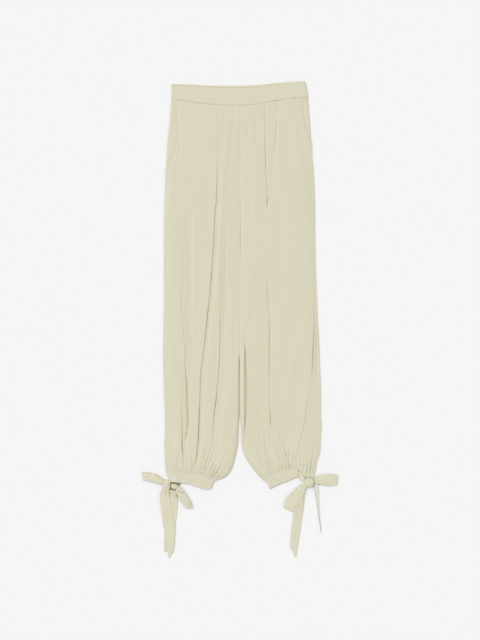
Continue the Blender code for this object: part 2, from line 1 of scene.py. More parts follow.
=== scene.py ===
# %% [markdown]
# # Satin trousers, laid flat
#
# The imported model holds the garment's solids: waistband, leg panels, pocket sides, cuffs and ties.
# This lesson dresses them. Each piece becomes a thin sheet of satin with the folds that a real pair
# takes when it is laid on a table, and the camera looks straight down on it.
# Shapes are worked out in millimetres: +X is the wearer's left, +Y points to the waist, +Z is up.

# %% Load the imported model
from math import pi, radians

import bpy
import numpy as np
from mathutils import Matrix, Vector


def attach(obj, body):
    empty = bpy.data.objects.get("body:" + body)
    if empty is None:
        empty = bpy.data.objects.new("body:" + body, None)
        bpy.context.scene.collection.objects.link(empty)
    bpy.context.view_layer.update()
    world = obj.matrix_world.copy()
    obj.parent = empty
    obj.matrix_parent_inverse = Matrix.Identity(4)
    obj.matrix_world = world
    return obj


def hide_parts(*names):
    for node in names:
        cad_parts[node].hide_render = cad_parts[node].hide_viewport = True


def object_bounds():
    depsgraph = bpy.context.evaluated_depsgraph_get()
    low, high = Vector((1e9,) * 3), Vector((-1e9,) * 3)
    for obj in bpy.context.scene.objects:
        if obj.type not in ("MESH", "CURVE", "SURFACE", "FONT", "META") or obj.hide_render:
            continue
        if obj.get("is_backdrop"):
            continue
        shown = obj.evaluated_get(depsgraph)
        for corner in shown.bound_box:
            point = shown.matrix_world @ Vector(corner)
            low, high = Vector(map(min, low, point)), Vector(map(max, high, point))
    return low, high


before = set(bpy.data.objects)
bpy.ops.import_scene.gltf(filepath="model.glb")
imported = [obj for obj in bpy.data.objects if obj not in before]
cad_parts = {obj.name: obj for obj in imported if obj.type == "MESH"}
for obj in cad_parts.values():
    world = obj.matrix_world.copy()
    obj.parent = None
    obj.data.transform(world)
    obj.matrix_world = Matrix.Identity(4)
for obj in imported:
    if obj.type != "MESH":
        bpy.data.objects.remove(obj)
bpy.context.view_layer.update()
MM = 0.001
print("solids to dress:", len(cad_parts))

# %% [markdown]
# ## Curves and meshes
#
# A pattern cutter draws a leg with a few measured points and a flexible curve. `flow` is that curve:
# it passes through each point and never swings past one. A cloth piece is then a grid of points,
# with rows that run down it and columns across it. The same grid also gives each point its place on
# the flat cut, in metres. The weave reads that place, so that it follows the cloth round its folds.


# %% A smooth curve through measured points
def flow(at, places, values):
    """Reads a smooth curve through (places, values). values may hold one curve for each row.

    Between two points it is a cubic. Its slope at a point is the harmonic mean of the slopes on
    both sides, and 0 where they point opposite ways."""
    order = np.argsort(places)
    places = np.asarray(places, float)[order]
    values = np.asarray(values, float)[..., order]
    step = np.diff(places)
    slope = np.diff(values, axis=-1) / step
    product = slope[..., :-1] * slope[..., 1:]
    total = np.where(product > 0, slope[..., :-1] + slope[..., 1:], 1.0)
    mean = np.where(product > 0, 2 * product / total, 0.0)
    tangent = np.concatenate([slope[..., :1], mean, slope[..., -1:]], axis=-1)
    at = np.clip(np.asarray(at, float), places[0], places[-1])
    k = np.clip(np.searchsorted(places, at) - 1, 0, len(step) - 1)
    t = (at - places[k]) / step[k]
    start = values[..., k] * (1 + 2 * t) * (1 - t) ** 2 + tangent[..., k] * step[k] * t * (1 - t) ** 2
    end = values[..., k + 1] * t * t * (3 - 2 * t) + tangent[..., k + 1] * step[k] * t * t * (t - 1)
    return start + end


def read(table, at, column=1):
    """One column of a table, read smoothly at these values of its first column."""
    rows = np.array(table, float)
    return flow(at, rows[:, 0], rows[:, column])


def ease(t):
    """0 below 0, 1 above 1, and a soft step between."""
    t = np.clip(t, 0, 1)
    return t * t * (3 - 2 * t)


def mix(start, end, share):
    """start where share is 0, end where it is 1, and evenly between."""
    return start * (1 - share) + end * share


def running(steps, axis=0):
    """Distance gone before each step and after the last."""
    first = np.zeros_like(np.take(steps, [0], axis))
    return np.concatenate([first, np.cumsum(steps, axis)], axis)


def bell(distance, half_width):
    """1 at distance 0, and about a third at half_width."""
    return np.exp(-((distance / half_width) ** 2))


def quarter_round(distance, reach):
    """0 at distance 0 and 1 from reach on. Between them it rises as a quarter of a circle does."""
    return np.sqrt(1 - (1 - np.clip(distance / reach, 0, 1)) ** 2)


def between_ends(rows, y, column):
    """One column of a fold's rows, read at y, and 0 above its first row and below its last."""
    return np.where((y < rows[0][0]) & (y > rows[-1][0]), read(rows, y, column), 0)


# %% A grid of points becomes a cloth mesh
SHARP_DEGREES = 50


def cut_place(points):
    """Place of each point on the flat cut: how far it lies along its row and down its column."""
    along = np.linalg.norm(np.diff(points, axis=1), axis=2)
    down = np.linalg.norm(np.diff(points, axis=0), axis=2).mean(axis=1)
    u, v = running(along, 1), running(down)
    u = u - u.mean(axis=1, keepdims=True)
    return np.stack([u, np.broadcast_to(v[:, None], u.shape)], axis=2) * MM


def show(name, data, at=(0, 0, 0)):
    """Puts a mesh, a lamp or a camera into the scene."""
    thing = bpy.data.objects.new(name, data)
    thing.location = at
    bpy.context.scene.collection.objects.link(thing)
    return thing


def cloth(name, points, outward, cut=None, around=False, wall=0.0):
    """Makes a sheet from points[row, column] in millimetres. cut is their place on the flat cut.

    outward is the direction that most of its faces should look in. around joins the last column to
    the first. wall gives the sheet its thickness, on the side away from outward."""
    cut = cut_place(points) if cut is None else cut
    rows, columns = points.shape[:2]
    index = np.arange(rows * columns).reshape(rows, columns)
    if around:
        index = np.hstack([index, index[:, :1]])
    quads = np.stack([index[:-1, :-1], index[:-1, 1:], index[1:, 1:], index[1:, :-1]], axis=-1)
    corner = np.stack([cut[:-1, :-1], cut[:-1, 1:], cut[1:, 1:], cut[1:, :-1]], axis=2)
    quads, corner = quads.reshape(-1, 4), corner.reshape(-1, 4, 2)
    place = points.reshape(-1, 3)
    a, b, d = (place[quads[:, i]] for i in (0, 1, 3))
    facing = (np.cross(b - a, d - a) @ np.array(outward, float)).sum()
    if facing < 0:
        quads, corner = quads[:, ::-1], corner[:, ::-1]
    mesh = bpy.data.meshes.new(name)
    mesh.from_pydata((place * MM).tolist(), [], quads.tolist())
    mesh.uv_layers.new(name="cut").data.foreach_set("uv", corner.ravel().astype(np.float32))
    mesh.shade_smooth()
    mesh.set_sharp_from_angle(angle=radians(SHARP_DEGREES))
    piece = show(name, mesh)
    if wall:
        thick = piece.modifiers.new("wall", "SOLIDIFY")
        thick.thickness = wall * MM
        thick.offset = -1
    return piece


def dress(piece, material, nodes):
    """Gives a piece its satin, sets it on the body, and hides the solids it stands for."""
    piece.data.materials.append(material)
    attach(piece, "root")
    if nodes:
        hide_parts(*nodes)


# %% [markdown]
# ## Satin
#
# The cloth is a crepe-backed satin in pale sage cream. Its warp threads lie close and straight, so it
# has a soft sheen and faint streaks that run down the leg, over a weave finer than half a millimetre.
# An image of cloth would repeat and blur. Noise stretched along the cut gives streaks at any
# distance, and a second, very fine noise gives the crepe.

# %% The satin material
SAGE_CREAM = (0.675, 0.643, 0.487)
# Paler, greener colour for the tie on its edge: painted light
PAINTED_LIGHT_SAGE = (0.74, 0.755, 0.66)
# Noise repeats in a metre, across the cut and along it
STREAKS_PER_METRE = (190.0, 5.0, 1.0)
CREPE_PER_METRE = (2600.0, 1500.0, 1.0)
# The colour's factors where the streaks are deep and light, and the roughness there
STREAK_TONE = (0.985, 1.012)
STREAK_ROUGHNESS = (0.38, 0.50)


def plug(node, **inputs):
    """Sets a node's inputs, or links each that gets another node's output. _ stands for a space."""
    for name, value in inputs.items():
        socket = node.inputs[name.replace("_", " ")]
        if isinstance(value, bpy.types.NodeSocket):
            node.id_data.links.new(value, socket)
        else:
            socket.default_value = value
    return node


def satin(name, lift, colour=SAGE_CREAM):
    """A satin whose colour is lifted by this factor, with streaks along the cut and a fine crepe."""
    material = bpy.data.materials.new(name)
    material.use_nodes = True
    nodes = material.node_tree.nodes
    place = nodes.new("ShaderNodeUVMap")
    place.uv_map = "cut"

    def add(kind, output, **inputs):
        return plug(nodes.new("ShaderNode" + kind), **inputs).outputs[output]

    def noise(scale, detail):
        stretched = add("Mapping", "Vector", Scale=scale, Vector=place.outputs["UV"])
        return add("TexNoise", "Fac", Scale=1.0, Detail=detail, Vector=stretched)

    streaks, crepe = noise(STREAKS_PER_METRE, 3.0), noise(CREPE_PER_METRE, 2.0)
    tone = plug(nodes.new("ShaderNodeValToRGB"), Fac=streaks)
    for stop, position, factor in zip(tone.color_ramp.elements, (0.3, 0.7), STREAK_TONE):
        stop.position = position
        stop.color = (*(np.array(colour) * lift * factor), 1)
    low, high = STREAK_ROUGHNESS
    spread = add("MapRange", "Result", Value=streaks, To_Min=low, To_Max=high)
    soft = add("Bump", "Normal", Strength=0.2, Distance=0.0006, Height=streaks)
    fine = add("Bump", "Normal", Strength=0.25, Distance=0.00012, Height=crepe, Normal=soft)
    plug(
        nodes["Principled BSDF"], Base_Color=tone.outputs["Color"], Roughness=spread, Normal=fine,
        Specular_IOR_Level=0.35, Sheen_Weight=0.15, Sheen_Roughness=0.4,
    )
    return material


LEG_SATIN = satin("leg_satin", 1.03)
BAND_SATIN = satin("band_satin", 1.035)
TIE_SATIN = satin("tie_satin", 1.065)
# A tie that stands on its edge gets a paler, greener satin: painted light for the light on its thin edge
PAINTED_LIGHT_SATIN = satin("painted_light_satin", 1.0, PAINTED_LIGHT_SAGE)
# Deep shade under the right knot is painted: a darkened copy of the satin
SHADE_SATIN = satin("painted_shade_satin", 0.45)

# %% [markdown]
# ## The cut of a leg
#
# A leg panel is straight and wide. It is gathered into the waistband at the top and into a narrow cuff
# at the bottom, so the laid leg keeps its width until just above the cuff and then rounds in.
# Five lines run down each panel: its side, three creases and its inner edge. A table gives their x
# at each height, and `flow` joins them both down the leg and across it.

# %% Seams and lines of the legs
WAIST_SEAM = [
    (-178, 563.5), (-149, 558), (-98, 551), (-68, 547.5), (-11, 546), (4, 546), (40, 549), (70, 554),
    (106, 560), (131, 563), (175, 567),
]
# height, then the x of side, outer crease, middle crease, inner crease, inner edge
RIGHT_SECTIONS = [
    (567, -176, -149, -61, -29, 0),
    (521, -179.5, -152, -61, -28, 0),
    (483, -183, -154, -60, -28, 0),
    (445, -187, -156, -58, -29, 0),
    (368, -190.7, -158, -59, -35, 0),
    (292, -194, -159, -62, -42, 0),
    (177, -195.2, -161, -70, -48, 0),
    (50, -195.3, -152, -80, -50, -0.5),
    (-78, -197.4, -142, -94, -54, -1),
    (-110, -197, -140, -97, -56, -3.2),
    (-180, -194.9, -136, -103, -60, -3.9),
    (-244, -192.6, -133, -105, -68, -4.3),
    (-282, -192.3, -135, -107, -70, -4.8),
    (-320, -194, -140, -109, -73, -7.2),
    (-348, -193, -143, -112, -80, -12.5),
    (-368, -192, -144, -117, -86, -18),
    (-384, -190, -145, -119, -90, -24),
    (-394, -187, -145, -120, -91, -31),
    (-402, -184, -145, -120, -92, -41),
    (-410, -182, -145, -121, -93, -67),
]
LEFT_SECTIONS = [
    (570, 170.5, 143, 62, 29, 0),
    (521, 175, 144, 62, 28, 0),
    (483, 178, 147, 62, 26, 0),
    (445, 180, 150, 61, 24, 0),
    (368, 186, 158, 65, 22, 0),
    (292, 189, 167, 68, 19, 0),
    (177, 189.8, 180, 68, 16, 0),
    (50, 194.2, 190, 71, 11, -0.5),
    (-78, 200.8, 185, 74, 10, -1),
    (-110, 201.6, 181.5, 74, 10.5, -2.1),
    (-180, 203.8, 173, 74, 12, -1.6),
    (-244, 203.8, 164, 76, 11, -1.4),
    (-269, 205.6, 161, 79, 11, 0.8),
    (-307, 203.4, 152, 79, 14, 1.4),
    (-338, 202, 146, 85, 24, 7.8),
    (-363, 194.4, 144, 93, 38, 20.5),
    (-384, 191, 142, 98, 52, 36),
    (-397, 187, 142, 101, 68, 46.5),
    (-404, 186, 143, 102, 75, 54),
    (-413, 185, 143, 102, 78, 64),
]
# x, height
RIGHT_CUFF_SEAM = [
    (-186, -402), (-177, -395), (-158, -389), (-145, -391), (-105, -395), (-80, -407), (-66, -410),
]
LEFT_CUFF_SEAM = [
    (63, -413.5), (70, -404), (77, -396), (95, -389), (117, -384), (143, -381), (148, -383), (155, -392),
    (162, -399), (175, -401), (188, -398),
]
# height, x
RIGHT_MOUTH = [(567, -165), (519, -163), (476, -161), (432, -168), (399, -184.5), (381, -190.2)]
LEFT_MOUTH = [(570, 154), (529, 158), (499, 163), (476, 169), (460, 176), (450, 179.7)]


# %% A leg's lines and the place of any point on it
class Leg:
    """One leg: its side of the body, its lines and its seams. Tables of its folds are added later."""

    def __init__(self, side, sections, cuff_seam, mouth):
        self.side = side
        self.sign = -1 if side == "right" else 1
        self.sections = np.array(sections, float)
        self.cuff_seam = cuff_seam
        self.mouth = np.array(mouth, float)
        middle = self.sections[len(sections) // 2, 1:]
        self.shares = (middle - middle[0]) / (middle[-1] - middle[0])
        self.width = abs(middle[-1] - middle[0])
        self.length = self.sections[0, 0] - self.sections[-1, 0]

    def line(self, column, height):
        """x of one of the five lines, from 0 for the side to 4 for the inner edge."""
        return flow(height, self.sections[:, 0], self.sections[:, 1 + column])

    def front_edge(self, height):
        """x of the front's outer edge: the pocket mouth above the pocket's end, and the side below."""
        at_mouth = flow(height, self.mouth[:, 0], self.mouth[:, 1])
        return np.where(height > self.mouth[-1, 0], at_mouth, self.line(0, height))

    def place(self, down, across, front):
        """x and y of each point of a panel. down runs from 0 at the waist seam to 1 at the cuff seam.

        Each line's height at this row is a mix of its heights on the two seams, and the five x
        are joined by a smooth curve. y mixes the two seams in the same way."""
        down = down[:, None]
        ends = []
        for height, seam in ((self.sections[0, 0], WAIST_SEAM), (self.sections[-1, 0], self.cuff_seam)):
            ends.append(np.array([read(seam, self.line(c, height)) for c in range(5)], float))
        heights = mix(*ends, down)
        lines = np.stack([self.line(c, heights[:, c]) for c in range(5)], axis=1)
        tops = np.array([self.line(c, ends[0][c]) for c in range(5)], float)
        bottoms = np.array([self.line(c, ends[1][c]) for c in range(5)], float)
        if front:
            lines[:, 0] = self.front_edge(heights[:, 0])
            tops[0] = self.front_edge(ends[0][0])
        x = flow(across, self.shares, lines)
        top = read(WAIST_SEAM, flow(across, self.shares, tops))
        bottom = read(self.cuff_seam, flow(across, self.shares, bottoms))
        return x, mix(top, bottom, down)


RIGHT = Leg("right", RIGHT_SECTIONS, RIGHT_CUFF_SEAM, RIGHT_MOUTH)
LEFT = Leg("left", LEFT_SECTIONS, LEFT_CUFF_SEAM, LEFT_MOUTH)
print("legs:", RIGHT.width, "and", LEFT.width, "mm wide")

# %% [markdown]
# ## Folds
#
# When satin is laid flat, its spare width settles into long folds. Each is a small lap: one side
# rides over the other, which leaves a thin dark line with a slightly lower, shaded strip beside it.
# A fold is a line with a depth at each height. Across the line, its profile has three parts: a low
# ridge on the raised side, a narrow channel at its foot, and a soft trough on the low side. Gathers
# are the same channels, short and close, that fan out of a seam. Listed tables are used because
# the folds are what the eye reads, and no two of them are alike.

# %% Where the long folds run
# One entry for each fold: raised side (-1 for the wearer's right), width of its soft trough, then rows
# of height, x and strength. The profile in the next cell is that of strength 1
RIGHT.folds = [
    (-1, 7, [
        (545, -61, 0.1), (502, -59, 0.2), (425, -58, 0.18), (354, -61, 0.85), (312, -61.5, 1.1),
        (284, -64, 1.2), (249, -66.5, 1.15), (195, -69.5, 1.15), (154, -71.5, 1), (108, -75, 1.5),
        (57, -79.5, 0.95), (14, -84.5, 1.45), (-45, -90.5, 1.3), (-98, -96.5, 1), (-139, -102, 1.05),
        (-203, -104, 1.1), (-254, -106.5, 1.7), (-297, -108, 1.75), (-325, -110, 1.3), (-353, -113, 1.2),
        (-378, -118.5, 0.35),
    ]),
    (-1, 12, [
        (520, -27, 0), (501, -27, 0.1), (442, -28, 0.3), (414, -30.5, 0.4), (368, -35.5, 0.22),
        (323, -38.5, 0.4), (284, -41.5, 0.3), (243, -46, 0.42), (205, -48, 0.55), (172, -49, 0.35),
        (101, -52, 0.6), (29, -51, 0.42), (-22, -53, 1.05), (-93, -54, 1.1), (-139, -56.5, 0.85),
        (-185, -61, 1.15), (-210, -63.5, 1.7), (-228, -66, 1.2), (-254, -68.5, 0.95), (-272, -70.5, 0.75),
        (-307, -71, 0.62), (-330, -76, 0.5), (-353, -82, 0.3), (-370, -88, 0.2),
    ]),
    (-1, 14, [
        (250, -163, 0), (150, -160, 0.1), (101, -157, 0.14), (57, -150, 0.25), (17, -150, 0.55),
        (-12, -148, 0.3), (-27, -146, 0.6), (-73, -148, 0.2), (-100, -149, 0),
    ]),
    (-1, 4, [
        (-60, -141.6, 0), (-83, -141.1, 0.75), (-108, -141.1, 0.7), (-139, -139.9, 0.9),
        (-164, -138.3, 1.1), (-185, -138, 1.4), (-205, -138.5, 1.7), (-231, -136.5, 1.6), (-256, -136, 1.4),
        (-282, -136.2, 1.3), (-294, -139.5, 0.9), (-315, -142, 0),
    ]),
    (-1, 8, [
        (-90, -150.5, 0), (-105, -150.5, 0.1), (-180, -151, 0.2), (-208, -150.5, 0.45), (-289, -149, 1.1),
        (-325, -149.5, 1.8), (-337, -148, 1.3), (-368, -146, 0.15), (-386, -146, 0.1),
    ]),
    (1, 5, [(315, 0.5, 0.2), (300, 0.5, 0.4), (262, 0.5, 0.4), (200, 1.2, 0.3), (150, 1.2, 0.12)]),
    (-1, 6, [(300, -7, 0), (280, -7, 0.12), (160, -8, 0.14), (86, -8.5, 0.12), (60, -8.5, 0)]),
    (0, 6, [(540, -95, 0), (520, -95, 0.3), (495, -93, 0.3), (470, -92, 0)]),
    (0, 5, [(520, -154, 0), (460, -154.5, 0.25), (440, -154, 0.15), (425, -154, 0)]),
]
LEFT.folds = [
    (0, 6, [
        (552, 62, 0.15), (537, 62, 0.36), (483, 62.5, 0.68), (432, 63, 1), (425, 64, 1.05),
        (368, 64.5, 0.95), (353, 66.5, 0.85), (317, 68, 0.8), (294, 68.5, 1.8), (284, 68.5, 0),
    ]),
    (0, 7, [
        (130, 67, 0), (108, 68, 0.5), (57, 71, 0.9), (17, 73, 0.6), (-27, 74, 1.15), (-98, 74, 1.1),
        (-160, 73.5, 0.75), (-203, 74, 0.6), (-228, 75.5, 0.9), (-254, 76.5, 1.55), (-277, 77.5, 0.7),
        (-300, 76, 0.45), (-340, 76, 0.35), (-374, 77, 0.3),
    ]),
    (-1, 12, [
        (125, 189.5, 0), (80, 189, 0.12), (29, 188, 0.42), (-27, 186.5, 1.15), (-83, 184, 1.6),
        (-126, 182.5, 0.95), (-165, 176, 0.22), (-200, 171, 0.5), (-215, 168.5, 0.55), (-249, 164.5, 0.7),
        (-274, 160, 0.75), (-297, 155.5, 0.55), (-315, 150.5, 0.5), (-330, 146, 0.45), (-358, 139, 0.35),
        (-375, 137, 0),
    ]),
    (0, 6, [
        (560, 92, 0.2), (529, 92, 0.55), (488, 92, 0.7), (465, 89.5, 1), (427, 86.5, 0.6), (356, 84, 0.15),
        (330, 84, 0),
    ]),
    (0, 5, [(505, 17, 0), (485, 17, 0.6), (470, 17, 0.4), (455, 17, 0)]),
    (-1, 7, [(450, 2, 0), (430, 1.5, 0.28), (405, 1, 0.22), (390, 1, 0)]),
    (1, 8, [(560, 136, 0), (545, 136, 0.25), (500, 134, 0.2), (460, 133, 0)]),
    (-1, 9, [(470, 116, 0), (455, 116, 0.2), (380, 114, 0.15), (330, 114, 0)]),
    (-1, 10, [(240, 30, 0), (180, 31, 0.08), (60, 33, 0.1), (-20, 34, 0)]),
    (1, 12, [(60, 128, 0), (-40, 127, 0.07), (-190, 123, 0.08), (-250, 121, 0)]),
]
# Gathers above a cuff: the strength of each, then height and x of the points on its way
RIGHT.gathers = [
    (0.5, -322, -189, -350, -187, -385, -184), (0.45, -270, -179, -330, -179, -392, -176),
    (0.5, -296, -169, -350, -169, -388, -168), (0.4, -330, -160, -388, -161),
    (0.5, -292, -140, -320, -142, -360, -144, -386, -146), (0.4, -330, -131, -386, -137),
    (0.6, -330, -126, -366, -124, -388, -126), (0.4, -348, -118, -390, -120),
    (0.7, -290, -80, -335, -88, -370, -98, -392, -104), (0.6, -292, -88, -330, -94, -366, -101, -390, -109),
    (0.8, -320, -74, -352, -82, -378, -92, -396, -97), (0.7, -330, -66, -360, -76, -384, -88, -398, -92),
    (1, -350, -60, -372, -70, -400, -84), (1.3, -368, -58, -384, -66, -403, -79),
    (1.4, -374, -50, -388, -60, -406, -74), (1.1, -386, -43, -396, -52, -410, -68),
    (0.8, -340, -36, -366, -48, -392, -58),
]
LEFT.gathers = [
    (0.5, -200, 40, -215, 41, -236, 46, -254, 49, -290, 54),
    (0.9, -245, 57, -262, 59, -297, 61, -335, 64, -363, 69, -392, 74), (0.5, -296, 24, -325, 26, -345, 31),
    (0.6, -305, 38, -330, 43, -352, 50, -372, 58),
    (0.7, -240, 91, -274, 95, -292, 98, -335, 113, -366, 123, -384, 127),
    (0.7, -290, 83, -335, 92, -360, 102, -380, 110), (0.6, -300, 97, -335, 103, -361, 114, -382, 120),
    (0.5, -264, 109, -300, 110, -340, 115), (0.5, -300, 115, -365, 116, -385, 116),
    (0.5, -312, 125, -350, 124, -382, 124), (0.5, -320, 138, -345, 134, -382, 132),
    (0.5, -290, 141, -312, 139, -330, 139), (0.6, -322, 151, -368, 153, -388, 152),
    (0.7, -340, 160, -379, 162, -396, 160), (0.7, -262, 189, -307, 190, -340, 186, -380, 180),
    (1, -350, 172, -380, 171, -398, 168), (1.1, -362, 180, -386, 178, -400, 174),
    (0.8, -350, 190, -380, 186, -397, 182), (0.5, -330, 66, -360, 76, -390, 84),
    (0.5, -340, 54, -370, 66, -398, 71), (0.4, -350, 88, -385, 92), (0.4, -345, 98, -384, 101),
    (0.4, -340, 107, -384, 108), (0.4, -350, 145, -384, 143),
]

# %% The profile across a fold
CHANNEL = 2.1
CHANNEL_HALF = 1.15
LAP = 0.9
LAP_REACH = 16.0
TROUGH = 0.8
VALLEY = 0.7
GATHER_DEEP = 1.9
# The low ridges beside a gather: height, distance from its line, half width
GATHER_RIDGE = (0.5, 3.6, 2.4)


def lap_fold(x, y, raised, trough_width, rows):
    """Height added by one fold: a ridge on its raised side that fades over LAP_REACH and drops
    steeply at the line, a bell-shaped channel at the foot of the drop, and a soft trough beyond it.
    A fold with no raised side is a valley: the channel alone, with both sides sinking towards it."""
    depth = between_ends(rows, y, 2)
    past = (x - read(rows, y)) * (raised or 1)
    if not raised:
        return -depth * (CHANNEL * bell(past, CHANNEL_HALF) + VALLEY * np.exp(-np.abs(past) / trough_width))
    ridge = np.where(past > 0, np.exp(-past / LAP_REACH), bell(past, 0.8))
    channel = bell(past + 0.9, CHANNEL_HALF)
    trough = bell(past + trough_width, trough_width * 0.8)
    return depth * (LAP * ridge - CHANNEL * channel - TROUGH * trough)


def gather_lines(x, y, rows):
    """Height added by the gathers above a cuff. Each is a narrow channel between two low ridges, which
    grows deeper over its first half and stays so down to the seam."""
    total = np.zeros_like(x)
    high, away, half_width = GATHER_RIDGE
    for depth, *way in rows:
        way = np.reshape(way, (-1, 2))
        top, foot = way[0, 0], way[-1, 0]
        share = (top - y) / (top - foot)
        window = ease(share * 2) * ease((1.15 - share) / 0.15)
        off = x - read(way, y)
        ridges = high * bell(np.abs(off) - away, half_width)
        total -= depth * window * (GATHER_DEEP * bell(off, CHANNEL_HALF) - ridges)
    return total


# %% Strips that slope down to a fold
# Rows of each strip: height, x where it starts, x where it ends, drop to the right over its width
RIGHT.strips = [
    [
        (285, -156, -126, 0), (240, -156, -124, 1.8), (190, -155, -123, 2.4), (100, -153, -123, 2.9),
        (30, -151, -125, 3), (-30, -147, -126, 2.9), (-90, -143, -126, 2.8), (-134, -142, -127, 2.4),
        (-180, -141, -129, 1.2), (-205, -140, -130, 0),
    ],
    [
        (245, -49, -35, 0), (215, -48, -35, 1.5), (172, -48, -36, 2), (100, -50, -38, 1.8),
        (29, -51, -38, 1.6), (-22, -53, -41, 1), (-80, -54, -44, 0),
    ],
    [
        (255, -67, -58, 0), (225, -68.5, -59, 1.3), (195, -69.5, -60, 1.6), (160, -71, -62, 1.2),
        (130, -73, -64, 0),
    ],
    [
        (-80, -151, -141, 0), (-110, -151, -141, 0.7), (-180, -151, -137.5, 1.4), (-240, -151, -134, 1.9),
        (-290, -151, -138, 1.5), (-325, -151, -142, 0),
    ],
    [
        (-105, -141.4, -138.6, 0), (-139, -140.2, -137, 1.4), (-164, -138.6, -135.6, 2.4),
        (-205, -138.8, -133, 3.8), (-231, -137.2, -132.4, 3.6), (-256, -136.6, -131.8, 3),
        (-285, -136.6, -133.4, 1.6), (-305, -140, -137, 0),
    ],
]
LEFT.strips = [
    [(560, 64, 84, 0), (483, 64, 84, 0.6), (330, 68, 82, 0.6), (290, 70, 82, 0)],
    [(60, 190, 194, 0), (-27, 187, 197, 0.8), (-110, 184, 198, 1), (-170, 176, 192, 0)],
    [
        (-40, 8.4, 10.6, 0), (-65, 8.6, 12, 2.4), (-91, 8.7, 13, 6), (-116, 8.7, 13.4, 6.4),
        (-142, 8.8, 15.2, 6.6), (-167, 8.7, 16.8, 7), (-193, 8.6, 16.8, 7), (-218, 8.7, 16.4, 6.4),
        (-244, 8.7, 13.6, 5.4), (-269, 8.4, 12, 4.2), (-295, 7, 10, 2.4), (-330, 8, 10.5, 0),
    ],
]
STRIP_RISE = 2.2


def sloping_strips(x, y, strips):
    """How far each strip has sunk: evenly from its start to its end, then steeply back up."""
    total = np.zeros_like(x)
    for rows in strips:
        start, stop = read(rows, y, 1), read(rows, y, 2)
        drop = between_ends(rows, y, 3)
        share = np.clip((x - start) / (stop - start), 0, 1)
        total += drop * share * (1 - ease((x - stop) / STRIP_RISE))
    return total


# %% Fine gathers along a seam
def puckers(across, distance, count, depth, reach, seed):
    """Depth of many small channels that leave a seam side by side, each with its own depth and reach."""
    chance = np.random.default_rng(seed).uniform
    total = np.zeros_like(across)
    for i in range(count):
        middle = (i + 0.5 + chance(-0.35, 0.35)) / count
        strength = depth * chance(0.35, 1.0)
        far = reach * chance(0.35, 1.0)
        total += strength * bell((across - middle) * count, 0.30) * np.exp(-distance / far)
    return total


def long_creases(across, y, count, depth, seed):
    """Height of faint long creases, each a narrow channel at its own place with soft ends."""
    chance = np.random.default_rng(seed).uniform
    total = np.zeros_like(across)
    for _ in range(count):
        middle = chance(0.03, 0.97)
        centre, half = chance(-330, 520), chance(40, 190)
        lean = chance(-0.03, 0.03)
        strength = depth * chance(0.3, 1.0)
        window = ease(1.0 - np.abs(y - centre) / half)
        off = across - middle - lean * (y - centre) / 500
        total -= strength * window * bell(off, chance(0.006, 0.02))
    return total


# %% [markdown]
# ## Front panels
#
# The front lies on the back and rolls down to it at the side, and below the crotch at the inner edge
# too. At the pocket its edge is free, so the cloth is turned under there. The grid packs its columns
# near the three creases and its rows near the two seams, because that is where the cloth bends most.

# %% Heights of the front
PLATEAU = 5.6
LOWEST = 1.2
SIDE_EDGE, SIDE_ROLL = 2.4, 38.0
MOUTH_EDGE, MOUTH_EASE = 4.3, 30
INNER_EDGE, INNER_ROLL, LOW_ROLL = 1.6, {"right": 9.0, "left": 3.5}, 10
CUFF_TOP = 4.6
# y where the legs part, and the length over which they do
PARTING, PARTING_LENGTH = -80, 45
# The left leg's inner edge stands up beside a deep fold: height, distance from the edge, half width
STANDING_STRIP = (2.2, 9.0, 5.0)
# Above a cuff the cloth bags: height, distance from the cuff, half width, margin to the edges
BAGGING = (1.6, 38, 30, 25)
STITCH_STEP, STITCH_DEEP, SEAM_DEEP, SEAM_HALF = 5.1, 1.9, 0.25, 1.9
# Fine gathers: seam, count, depth, reach, seed
SEAM_GATHERS = [("waist", 44, 0.35, 12, 3), ("waist", 13, 0.35, 60, 23), ("cuff", 46, 1.1, 16, 33)]
# height, depth of the dip along the centre seam
CENTRE_SINK = [
    (545, 0), (470, 0.3), (415, 1.2), (368, 1.9), (243, 2.1), (172, 2), (100, 1.5), (29, 1), (-60, 0.5),
    (-110, 0),
]


def stitches(x):
    """1 at each stitch of the waist seam, and 0 between them."""
    return (0.5 + 0.5 * np.cos(2 * pi * x / STITCH_STEP)) ** 3


